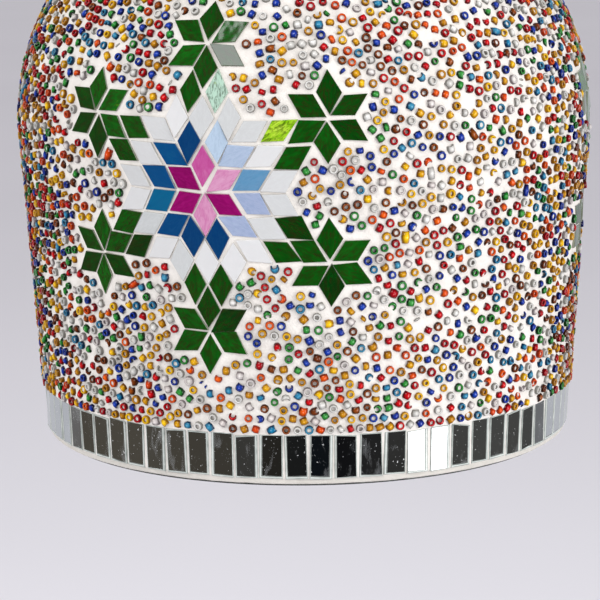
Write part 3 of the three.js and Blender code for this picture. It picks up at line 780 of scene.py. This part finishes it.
def make_mirrors(rng):
    shape = strip_shape()
    verts = shape[0]
    count = MIRROR_COUNT
    pitch = TURN / count
    angles = (np.arange(count) + 0.5) * pitch + rng.normal(0, 0.001, count)
    along = np.full(count, along_at_rise(MIRROR_LOW + MIRROR_HEIGHT / 2))
    along += rng.uniform(-0.2, 0.2, count) * MM
    centres, axes = on_dome(angles, along, np.full(count, MOSAIC_IN))
    axes = axes @ spun(rng.normal(0, 0.012, count), 2)
    axes = axes @ spun(rng.normal(0, 0.016, count), 1) @ spun(rng.normal(0, 0.01, count), 0)
    room = (RIM_RADIUS + MIRROR_FACE) * pitch - MIRROR_GROUT
    half_width = (room + rng.uniform(-0.2, 0.75, count) * MM) / 2
    half_height = (MIRROR_HEIGHT + rng.uniform(-0.7, 0.1, count) * MM) / 2
    reach = np.abs(verts[:, :2]).max(axis=1)
    level = verts[:, 2]
    side_wall = (level < 0.9) | (reach > 0.97)
    silvered = (level > 0.9) & (reach < 0.9)
    rounding = np.where(side_wall, 0, 0.25)[None] * MM
    side = rng.random(count)[:, None]

    def margin(least, most):
        return rng.uniform(least, most, (count, 1)) * MM

    left = np.where(side < 0.5, margin(0.9, 2.0), margin(0.4, 0.8))
    right = np.where(side < 0.5, margin(0.35, 0.7), margin(0.9, 1.9))
    low = margin(0.5, 1.9)
    high = margin(0.3, 0.8)
    across = np.sign(verts[:, 0])[None]
    upward = np.sign(verts[:, 1])[None]
    x_in = np.where(silvered[None], np.where(across < 0, left, right), rounding)
    y_in = np.where(silvered[None], np.where(upward < 0, low, high), rounding)
    own = np.zeros((count, len(verts), 3))
    own[:, :, 0] = across * (half_width[:, None] - x_in)
    own[:, :, 1] = upward * (half_height[:, None] - y_in)
    own[:, :, 2] = level * (MIRROR_FACE - MOSAIC_IN)
    cut = (rng.random((count, 1)) < 0.4) * rng.normal(0, 0.07, (count, 1))
    own[:, :, 1] += np.where(upward > 0, own[:, :, 0] * cut - np.abs(cut) * half_width[:, None], 0)
    foot = rng.normal(0, 0.035, (count, 1))
    own[:, :, 1] += np.where((upward < 0) & silvered, own[:, :, 0] * foot, 0)
    own[:, :, 0] *= 1 + rng.normal(0, 0.02, (count, 1)) * upward
    silver = np.where(silvered, 1.0, 0.0)
    band = copies("mirror_strips", shape, centres, axes, own, {"silver": silver}, flat=True)
    finished(band, MIRROR, "lamp", "mirror_strip", "mirror_band")


make_mirrors(np.random.default_rng(11))

# ---- Medallion tiles: rhombi on a lattice of triangles ----
STEPS = [(1, 0), (0, 1), (-1, 1), (-1, 0), (0, -1), (1, -1)]


def step(k, times=1):
    i, j = STEPS[k % 6]
    return (i * times, j * times)


def plus(a, b):
    return (a[0] + b[0], a[1] + b[1])


def flat_place(corner):
    i, j = corner
    return ((i + j / 2) * TILE_PITCH, j * math.sqrt(3) / 2 * TILE_PITCH)


def tile_at(origin, k):
    """Middle of a rhombus with a sharp corner at an origin, and the way that it points."""
    far = plus(origin, plus(step(k), step(k + 1)))
    (x0, y0), (x1, y1) = flat_place(origin), flat_place(far)
    return ((x0 + x1) / 2, (y0 + y1) / 2, math.radians(60 * k + 30))


def star_tiles():
    return [tile_at((0, 0), k) for k in range(6)]


def blue_tiles():
    return [tile_at(step(k), n) for k in range(6) for n in (k, k - 1)]


def clear_tiles():
    tips = [tile_at(plus(step(k), step(k + 1)), k) for k in range(6)]
    return tips + [tile_at(step(k, 2), n) for k in range(6) for n in (k, k - 1)]


def flower_tiles(k):
    tip = plus(step(k), step(k + 1))
    petals = [tile_at((tip[0] * 3, tip[1] * 3), n) for n in range(6)]
    leaves = [tile_at(plus(tip, step(k)), k), tile_at(plus(tip, step(k + 1)), k)]
    return petals + leaves


def all_tiles():
    flowers = [tile for k in range(6) for tile in flower_tiles(k)]
    return star_tiles() + blue_tiles() + clear_tiles() + flowers


def tile_shape():
    """A rhombus of sheet glass that points along X, its upper edges rubbed down."""
    deselect()
    bpy.ops.mesh.primitive_circle_add(vertices=4, radius=0.5, fill_type="NGON")
    tile = named("tile")
    with editing(tile):
        long, short = TILE_PITCH * math.sqrt(3), TILE_PITCH
        shrink = 1 - TILE_GROUT / (TILE_PITCH * math.sin(math.pi / 3))
        bpy.ops.transform.rotate(value=math.pi / 2, orient_axis="Z", center_override=(0, 0, 0))
        bpy.ops.transform.resize(value=(long * shrink, short * shrink, 1), center_override=(0, 0, 0))
        bpy.ops.mesh.extrude_region_move(TRANSFORM_OT_translate={"value": (0, 0, TILE_FACE - MOSAIC_IN)})
        pick(tile, lambda edge: all(v.co.z > MM for v in edge.verts), "edges")
        bpy.ops.mesh.bevel(offset=0.22 * MM, segments=2, affect="EDGES")
        bpy.ops.mesh.select_all(action="SELECT")
        bpy.ops.mesh.normals_make_consistent(inside=False)
    smooth(tile, 50)
    return shape_of(tile)


TILE_SHAPE = tile_shape()


def make_tiles(name, tiles, tones, material, slot, nodes, rng):
    """Tiles of one glass, from rows of place, pointing way and medallion turn, each cut a little off."""
    rows = np.array(tiles)
    count = len(rows)
    x, y, point, turn = rows.T
    x = x + rng.normal(0, 0.12, count) * MM
    y = y + rng.normal(0, 0.12, count) * MM
    along = MEDALLION_ALONG + y
    middle = on_outline(along, MOSAIC_IN)[0]
    centres, axes = on_dome(turn + x / middle, along, np.full(count, MOSAIC_IN))
    axes = axes @ spun(point + rng.normal(0, 0.014, count), 2)
    axes = axes @ (spun(rng.normal(0, 0.03, count), 0) @ spun(rng.normal(0, 0.03, count), 1))
    verts = TILE_SHAPE[0]
    own = np.repeat(verts[None], count, axis=0)
    long, short = verts[:, 0].max(), verts[:, 1].max()
    pulls = np.clip(rng.normal(0, 0.4, (count, 4, 2)), -0.7, 0.7) * MM
    ahead, aside = verts[:, 0] / long, verts[:, 1] / short
    for n, weight in enumerate([ahead, -ahead, aside, -aside]):
        own[:, :, :2] += np.maximum(weight, 0)[None, :, None] * pulls[:, n][:, None, :]
    places = own / MM + rng.uniform(-40, 40, (count, 1, 3))
    face = np.where(verts[:, 2] > 0.9 * verts[:, 2].max(), 1.0, 0.0)
    traits = {"tone": np.array(tones)[:, None], "face": face}
    piece = copies(name, TILE_SHAPE, centres, axes, own, traits, places, flat=True)
    finished(piece, material, "lamp", slot, *nodes)


def with_turn(tiles, m):
    return [(x, y, way, MEDALLION_TURNS[m]) for x, y, way in tiles]


# Where each tile lies on its glass's ramp of colours. The highest star and blue tones and the lime leaf are
# partly painted reflections, tiles made paler as if catching light, and partly the glass's own paler
# streaks.
STAR_TONES = [0.92, 0.6, 0.08, 0.2, 0.88, 0.15]
BLUE_TONES = [0.62, 0.86, 1.0, 0.93, 0.3, 0.1, 0.42, 0.3, 0.1, 0.22, 0.86, 0.12]
LIME_GLARE = 0.76
MINT = 1.05


def make_medallion(m, rng):
    tag = "_%d" % (m + 1)
    stars = np.array(STAR_TONES) + rng.normal(0, 0.02, 6)
    make_tiles("star_tiles" + tag, with_turn(star_tiles(), m), stars,
               STAR_GLASS, "magenta_glass", ["star" + tag], rng)
    blues = np.array(BLUE_TONES) + rng.normal(0, 0.02, 12)
    make_tiles("blue_tiles" + tag, with_turn(blue_tiles(), m), blues,
               BLUE_GLASS, "pale_glass", ["petal_ring" + tag], rng)
    make_tiles("pale_tiles" + tag, with_turn(clear_tiles(), m), rng.uniform(0, 1, 18),
               PALE_GLASS, "pale_glass", ["petal_ring" + tag], rng)
    for k in range(6):
        tones = rng.uniform(0.08, 0.5, 8)
        # One leaf of the first flower gets the lime tone, a painted glare of light on that tile.
        if k == 0:
            tones[7] = LIME_GLARE
        if k == 1:
            tones[6] = MINT
        name = "flower%s_%d" % (tag, k + 1)
        make_tiles("leaves%s_%d" % (tag, k + 1), with_turn(flower_tiles(k), m), tones,
                   GREEN_GLASS, "green_glass", [name], rng)


for number in range(3):
    make_medallion(number, np.random.default_rng(100 + number))


# ---- Beads ----
BEAD_RING = 1.49 * MM
BEAD_WALL = 0.67 * MM
BEAD_STRETCH = 2.75
BEAD_HALF = BEAD_RING + BEAD_WALL
BEAD_HALF_LENGTH = 1.7 * MM
PLUG_RADIUS = 1.18 * MM
PLUG_HEIGHT = 1.5 * MM
ON_END_SHARE = 0.46
TIPPED_SHARE = 0.1
CHIPPED_SHARE = 0.03
LONG_SHARE = 0.02
FILLED_SHARE = 0.9
BEAD_SPACING = 5.3 * MM
BEAD_AREA = 19.0 * MM * MM
BEAD_CLEAR = 3.85 * MM
TILE_CLEAR = -1.75 * MM


def bead_shape(broken=False):
    """A drawn glass bead with a wide hole, standing on end."""
    deselect()
    bpy.ops.mesh.primitive_torus_add(
        major_segments=10, minor_segments=6, major_radius=BEAD_RING, minor_radius=BEAD_WALL)
    bead = named("bead")
    with editing(bead):
        bpy.ops.transform.resize(value=(1, 1, BEAD_STRETCH), center_override=(0, 0, 0))
        if broken:
            def gone(face):
                middle = face.calc_center_median()
                return abs(math.atan2(middle.y, middle.x)) < 0.95
            pick(bead, gone, "faces")
            bpy.ops.mesh.delete(type="FACE")
            pick(bead, lambda edge: edge.is_boundary, "edges")
            bpy.ops.mesh.edge_face_add()
        bpy.ops.mesh.select_all(action="SELECT")
        bpy.ops.mesh.normals_make_consistent(inside=False)
    return shape_of(bead)


def plug_shape():
    """The plaster that stands in a bead's hole."""
    deselect()
    bpy.ops.mesh.primitive_circle_add(vertices=8, radius=PLUG_RADIUS, fill_type="NGON")
    plug = named("plug")
    with editing(plug):
        bpy.ops.mesh.extrude_region_move(TRANSFORM_OT_translate={"value": (0, 0, PLUG_HEIGHT)})
        bpy.ops.mesh.inset(thickness=0.55 * MM)
        bpy.ops.transform.translate(value=(0, 0, -0.18 * MM))
        bpy.ops.mesh.select_all(action="SELECT")
        bpy.ops.mesh.normals_make_consistent(inside=False)
    return shape_of(plug)


def tile_room(angle, along):
    """How far each place is inside the tiles of its medallion: above 0 is on a tile or too near."""
    x0, y0, way = np.array(all_tiles()).T
    nearest = np.full(len(angle), -1.0)
    middle = on_outline(along, MOSAIC_IN)[0]
    for turn in MEDALLION_TURNS:
        side = (angle - turn + math.pi) % TURN - math.pi
        x = side * middle
        y = along - MEDALLION_ALONG
        near = (np.abs(x) < 0.09) & (np.abs(y) < 0.09)
        dx = x[near, None] - x0[None]
        dy = y[near, None] - y0[None]
        c, s = np.cos(way), np.sin(way)
        u = np.abs(dx * c + dy * s) / (TILE_PITCH * math.sqrt(3) / 2)
        v = np.abs(-dx * s + dy * c) / (TILE_PITCH / 2)
        room = (1 - u - v) * TILE_PITCH * math.sqrt(3) / 4
        nearest[near] = np.maximum(nearest[near], room.max(axis=1))
    return nearest


def eased(angle, along, stones, spacing, rounds):
    """Places pushed apart along the surface, from each other and from the stones."""
    for _ in range(rounds):
        centres, axes = on_dome(angle, along, np.full(len(angle), SKIN_OUT))
        tree = KDTree(len(centres) + len(stones))
        for n, place in enumerate(np.vstack([centres, stones])):
            tree.insert(place, n)
        tree.balance()
        push = np.zeros_like(centres)
        for n, place in enumerate(centres):
            for other, which, gap in tree.find_range(place, spacing):
                if which != n and gap > 0:
                    push[n] += (place - np.array(other)) * (spacing / gap - 1) * 0.42
        around = np.einsum("ni,ni->n", push, axes[:, :, 0])
        up = np.einsum("ni,ni->n", push, axes[:, :, 1])
        angle = angle + np.clip(around, -MM, MM) / np.hypot(centres[:, 0], centres[:, 1])
        along = np.clip(along + np.clip(up, -MM, MM), BEAD_LOW + 1.9 * MM, BEAD_HIGH)
    return angle, along


def thinned(angle, along):
    """Leaves out each bead that crowds one already kept."""
    centres = on_dome(angle, along, np.full(len(angle), SKIN_OUT))[0]
    tree = KDTree(len(centres))
    for n, place in enumerate(centres):
        tree.insert(place, n)
    tree.balance()
    crowded = set()
    for n, place in enumerate(centres):
        if n not in crowded:
            crowded.update(which for _, which, _ in tree.find_range(place, BEAD_CLEAR) if which > n)
    keep = np.array([n not in crowded for n in range(len(centres))])
    return angle[keep], along[keep]


def tile_stones():
    """Points spread over every tile, which the beads keep away from."""
    fixed = []
    for turn in MEDALLION_TURNS:
        for x, y, way in all_tiles():
            for u in (-0.6, -0.3, 0, 0.3, 0.6):
                for v in (-0.6, -0.2, 0.2, 0.6):
                    if abs(u) + abs(v) > 0.95:
                        continue
                    px = x + (u * math.cos(way) * math.sqrt(3) - v * math.sin(way)) * TILE_PITCH / 2
                    py = y + (u * math.sin(way) * math.sqrt(3) + v * math.cos(way)) * TILE_PITCH / 2
                    at = MEDALLION_ALONG + py
                    fixed.append((turn + px / on_outline(at, MOSAIC_IN)[0], at))
    fixed = np.array(fixed)
    return on_dome(fixed[:, 0], fixed[:, 1], np.full(len(fixed), SKIN_OUT))[0]


def scatter_beads(rng):
    """Places for the beads, eased apart from each other and from the tiles."""
    inside = (ALONG >= BEAD_LOW) & (ALONG <= BEAD_HIGH)
    weight = np.cumsum(np.where(inside, OUTLINE[:, 0], 0) * np.gradient(ALONG))
    count = int(weight[-1] * TURN / BEAD_AREA)
    along = np.interp(rng.random(count) * weight[-1], weight, ALONG)
    angle = rng.random(count) * TURN
    keep = tile_room(angle, along) < 0
    stones = tile_stones()
    angle, along = eased(angle[keep], along[keep], stones, BEAD_SPACING * 1.25, 12)
    angle, along = thinned(angle, along)
    angle, along = eased(angle, along, stones, BEAD_SPACING * 1.08, 8)
    keep = tile_room(angle, along) < TILE_CLEAR
    return angle[keep], along[keep]


def make_beads(rng):
    angle, along = scatter_beads(rng)
    count = len(angle)
    whole, broken, plug = bead_shape(), bead_shape(True), plug_shape()
    names = list(BEADS)
    shares = np.array([BEADS[name][0] for name in names])
    colour = rng.choice(len(names), count, p=shares / shares.sum())
    kind = rng.random(count)
    on_end = kind < ON_END_SHARE
    tipped = ~on_end & (kind < ON_END_SHARE + TIPPED_SHARE)
    chipped = rng.random(count) < CHIPPED_SHARE
    lie = rng.random(count) * TURN
    tip = np.where(on_end, rng.normal(0, 0.1, count), math.pi / 2 + rng.normal(0, 0.08, count))
    tip = np.where(tipped, rng.uniform(0.35, 1.1, count), tip)
    size = np.clip(rng.normal(1.0, 0.06, count), 0.85, 1.14)
    length = np.clip(rng.normal(1.0, 0.12, count), 0.75, 1.3)
    length = np.where((rng.random(count) < LONG_SHARE) & ~on_end, 1.75, length)
    half_length = BEAD_HALF_LENGTH * length
    reach = np.where(on_end, half_length, BEAD_HALF * size)
    reach = np.where(tipped, BEAD_HALF * size * 1.02, reach)
    top = BEAD_TOP - np.abs(rng.normal(0, 0.22, count)) * MM
    out = top - np.minimum(reach, 2.5 * MM)
    centres, axes = on_dome(angle, along, out)
    outward = axes[:, :, 2].copy()
    bead_axes = axes @ spun(lie, 2) @ spun(tip, 0) @ spun(rng.random(count) * TURN, 2)
    tone = rng.random(count)
    stretch = np.column_stack([size, size, length])
    for n, name in enumerate(names):
        made = []
        for shape, some in ((whole, ~chipped), (broken, chipped)):
            at = (colour == n) & some
            verts, normals = shape[0], shape[1]
            own = verts[None] * stretch[at][:, None, :]
            # How far each vertex faces out of the dome, which the bead finish turns into painted highlight
            # and painted shade.
            lit = np.einsum("nij,vj,ni->nv", bead_axes[at], normals, outward[at])
            traits = {"tone": tone[at][:, None], "lit": np.clip(lit, 0, 1)}
            made.append(copies("part", shape, centres[at], bead_axes[at], own, traits))
        piece = joined("beads_" + name, *made)
        finished(piece, BEAD_FINISHES[name], "lamp", "bead_glass", "bead_layer")
    filled = on_end & ~chipped & (rng.random(count) < FILLED_SHARE)
    sunk = rng.uniform(0.6, 1.4, filled.sum()) * MM
    depth = out[filled] + half_length[filled] - sunk - PLUG_HEIGHT
    places, plug_axes = on_dome(angle[filled], along[filled], depth)
    scale = np.repeat(size[filled][:, None, None], 3, axis=2)
    plugs = copies("plaster_in_beads", plug, places, plug_axes, plug[0][None] * scale)
    finished(plugs, PLASTER, "lamp", "white_plaster", "plaster_coat")


make_beads(np.random.default_rng(5))

# ---- Hanging ring, link and loop ----
WIRE = 2 * MM
BORE = 5.3 * MM
SHEET = 1.2 * MM
XZ_PLANE = (math.pi / 2, 0, 0)
YZ_PLANE = (math.pi / 2, 0, math.pi / 2)


def wire_ring(name, centre, radius, plane, stretch=0.0, seam=-1):
    """A bent wire ring, drawn out to a link where stretch is given, with a weld at one end."""
    deselect()
    bpy.ops.mesh.primitive_torus_add(
        major_segments=72, minor_segments=18, major_radius=radius, minor_radius=WIRE,
        location=centre, rotation=plane)
    ring = named(name)
    settle(ring)
    middle = Vector(centre)
    with editing(ring):
        if stretch:
            for side in (1, -1):
                pick(ring, lambda v: (v.co.z - middle.z) * side > 0.05 * MM)
                bpy.ops.transform.translate(value=(0, 0, side * stretch / 2))
        if seam:
            end = middle + Vector((0, 0, seam * (radius + stretch / 2)))
            for reach, swell in ((1.5, 1.05), (0.5, 1.06)):
                def near(v):
                    away = v.co - end
                    across = away.x if plane == XZ_PLANE else away.y
                    return abs(across) < reach * MM and away.z * seam > -2.6 * MM
                pick(ring, near)
                grown = (1, swell, swell) if plane == XZ_PLANE else (swell, 1, swell)
                bpy.ops.transform.resize(value=grown, center_override=tuple(end))
    smooth(ring, 60)
    return ring


def centre_of(node):
    low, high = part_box(node)
    return (low + high) / 2, high - low


def make_hanger():
    middle, size = centre_of("hanging_ring")
    ring = wire_ring("brass_ring", tuple(middle), size.x / 2 - WIRE, XZ_PLANE)
    finished(ring, BRASS, "ring", "aged_brass", "hanging_ring")
    middle, size = centre_of("chain_link")
    radius = size.y / 2 - WIRE
    link = wire_ring("brass_link", tuple(middle), radius, YZ_PLANE, size.z - 2 * radius - 2 * WIRE, 0)
    finished(link, BRASS, "link", "aged_brass", "chain_link")


def make_top_loop():
    low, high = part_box("top_loop")
    ring = wire_ring("loop_ring", (0, 0, high.z - 13 * MM), 11 * MM, XZ_PLANE, 0, 0)
    z = low.z
    base = turned("loop_base", [
        (BORE, z), (7.4 * MM, z), (8 * MM, z + 0.6 * MM), (8 * MM, z + 2.2 * MM),
        (7.5 * MM, z + 2.6 * MM), (7.5 * MM, z + 3.1 * MM), (8 * MM, z + 3.5 * MM),
        (8 * MM, z + 9.6 * MM), (7.5 * MM, z + 10 * MM), (7.5 * MM, z + 10.6 * MM),
        (8 * MM, z + 11 * MM), (7.6 * MM, z + 12.2 * MM), (5.6 * MM, z + 13 * MM),
        (0, z + 13.3 * MM), (0, z + 9 * MM), (BORE, z + 9 * MM),
    ], 72)
    smooth(base, 35)
    loop = joined("brass_loop", base, ring)
    finished(loop, BRASS, "lamp", "aged_brass", "top_loop")


def make_collar():
    low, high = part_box("collar")
    z, top = low.z, high.z
    fitting("brass_collar", [
        (BORE, z), (12.4 * MM, z), *arc((12.2 * MM, z + 1.2 * MM), 0.8 * MM, -60, 90, 6),
        (11.4 * MM, z + 2.3 * MM), (11.2 * MM, z + 2.9 * MM),
        *arc((14.2 * MM, top - 0.6 * MM), 5.2 * MM, 215, 180, 6),
        (8.6 * MM, top - 0.2 * MM), (8 * MM, top), (BORE, top),
    ], 72, 40, BRASS, "aged_brass", "collar")


def make_bush():
    """The moulded inlet for the cord, turned on its own and then laid along +Y."""
    low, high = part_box("cord_bush")
    length = high.y - low.y
    neck = length - 2.1 * MM
    bush = turned("cord_inlet", [
        (1.9 * MM, 0), (3 * MM, 0), (3 * MM, neck), (3.9 * MM, neck),
        *arc((3.6 * MM, length - 0.9 * MM), 0.6 * MM, -30, 90, 5),
        (2.6 * MM, length), (2.1 * MM, length - 0.4 * MM), (1.9 * MM, length - 1 * MM),
    ], 40)
    with editing(bush):
        bpy.ops.mesh.select_all(action="SELECT")
        bpy.ops.transform.rotate(value=math.pi / 2, orient_axis="X", center_override=(0, 0, 0))
    if max(v.co.y for v in bush.data.vertices) < MM:
        with editing(bush):
            bpy.ops.mesh.select_all(action="SELECT")
            bpy.ops.transform.rotate(value=math.pi, orient_axis="X", center_override=(0, 0, 0))
    with editing(bush):
        bpy.ops.mesh.select_all(action="SELECT")
        bpy.ops.transform.translate(value=(0, low.y, (low.z + high.z) / 2))
    smooth(bush, 40)
    finished(bush, BLACK_PLASTIC, "lamp", "black_plastic", "cord_bush")


def make_cap():
    """Spun brass over the crown, with a rolled edge and two raised rings."""
    low_out, high_out = 5.9 * MM, 7.1 * MM
    edge = along_at_radius(CAP_RADIUS - 0.6 * MM)
    flat = along_at_radius(16 * MM)
    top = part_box("canopy_cap")[1].z
    rings = (44.5 * MM, 24 * MM)
    outer = []
    for r, z in outline_points(edge, flat, high_out, 40):
        ridge = sum(0.7 * MM * math.exp(-((r - c) / (1.1 * MM)) ** 2) for c in rings)
        outer.append((r, min(z + ridge, top)))
    inner = outline_points(flat, edge, low_out, 24)
    er, ez = on_outline(edge, low_out + 0.6 * MM)
    roll = arc((float(er), float(ez)), 1.05 * MM, 190, 380, 9)
    fitting("brass_cap", [
        *outer, (15 * MM, top), (BORE, top), (BORE, top - SHEET), *inner, *roll,
    ], 128, 45, BRASS, "aged_brass", "canopy_cap")


make_hanger()
make_top_loop()
make_collar()
make_bush()
make_cap()


# ---- Fittings inside the dome ----
def make_seal():
    low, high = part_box("seal_ring")
    fitting("rubber_seal", [
        (BORE, low.z), (29.4 * MM, low.z), *arc((29.3 * MM, low.z + 0.7 * MM), 0.7 * MM, -90, 60, 4),
        (28.6 * MM, high.z), (BORE, high.z),
    ], 72, 40, RUBBER, "seal_rubber", "seal_ring")
    low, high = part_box("clamp_plate")
    fitting("steel_plate", [
        (BORE, low.z), (24 * MM, low.z), (25.6 * MM, low.z + 0.25 * MM), (26.6 * MM, low.z + 0.3 * MM),
        *arc((26.4 * MM, low.z + 0.9 * MM), 0.6 * MM, -60, 90, 5), (BORE, high.z),
    ], 72, 40, STEEL, "zinc_steel", "clamp_plate")


def make_holder():
    wide, groove, inside = 20.5 * MM, 19.9 * MM, 19.3 * MM
    low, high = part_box("holder_cap")
    z, top = low.z, high.z
    outer = arc((8 * MM, z), 12.5 * MM, 0, 82, 12)
    inner = arc((8 * MM, z), 11.3 * MM, 82, 0, 12)
    neck = top - 8 * MM
    fitting("holder_crown", [
        (wide, z), (wide, z + 0.6 * MM),
        *[(r, z + (h - z) * 13 / 12.5) for r, h in outer[2:]],
        (8.4 * MM, neck + 0.9 * MM), (8 * MM, neck + 1.6 * MM), (8 * MM, top - 0.5 * MM), (7.5 * MM, top),
        (BORE, top), (BORE, neck - SHEET),
        *[(r, z + (h - z) * 11.8 / 11.3) for r, h in inner[1:]], (inside, z),
    ], 72, 40, BRASS, "aged_brass", "holder_cap")
    low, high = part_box("holder_body")
    z, top = low.z, high.z
    fitting("holder_shell", [
        (15.5 * MM, z + 0.5 * MM), (16 * MM, z), (19.6 * MM, z),
        *arc((19.5 * MM, z + 1 * MM), 1 * MM, -90, 0, 5), (wide, z + 4 * MM),
        (groove, z + 4.6 * MM), (groove, z + 5.2 * MM), (wide, z + 5.8 * MM),
        (wide, top - 7 * MM), (groove, top - 6.4 * MM), (groove, top - 5.8 * MM),
        (wide, top - 5.2 * MM), (wide, top), (inside, top), (inside, z + SHEET),
        (15.5 * MM, z + SHEET),
    ], 72, 40, BRASS, "aged_brass", "holder_body")


def make_bulb():
    """A round bulb, its neck drawn in with one soft curve."""
    low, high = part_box("bulb_glass")
    ball, neck, wall = 30 * MM, 12.3 * MM, 1.2 * MM
    centre = low.z + ball
    bottom = arc((0, centre), ball, -90, 28, 26)
    r0, z0 = bottom[-1]
    z1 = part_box("bulb_cap")[0].z
    middle = z0 + (z1 - z0) / 2
    handles = ((r0, z0), (r0 - (z1 - z0) / 4, middle), (neck, middle), (neck, z1))
    outer = []
    for n in range(1, 15):
        t = n / 14
        shares = ((1 - t) ** 3, 3 * t * (1 - t) ** 2, 3 * t * t * (1 - t), t**3)
        outer.append(tuple(sum(s * h[i] for s, h in zip(shares, handles)) for i in (0, 1)))
    skin = [(0, low.z), *bottom[1:], *outer, (neck, high.z)]
    inner = [(max(r - wall, 0), z + wall * (n < 8)) for n, (r, z) in enumerate(skin)]
    inner[-1] = (neck - wall, high.z)
    inner = [(r, z) for r, z in inner if r > 0 or z < centre]
    fitting("bulb_globe", skin + inner[::-1], 72, 60, OPAL, "opal_glass", "bulb_glass", "bulb")


make_seal()
make_holder()
make_bulb()

KEPT = {
    "nipple": PIPE_METAL,
    "spring_washer": STEEL,
    "lock_nut": STEEL,
    "holder_insert": PORCELAIN,
    "screw_shell": CONTACT_BRASS,
    "centre_contact": CONTACT_BRASS,
    "terminal_screw_1": STEEL,
    "terminal_screw_2": STEEL,
    "bulb_tip": STEEL,
    "bulb_collet": BLACK_GLASS,
    "bulb_cap": CAP_METAL,
}
for node, material in KEPT.items():
    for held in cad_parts[node].material_slots:
        held.material = material
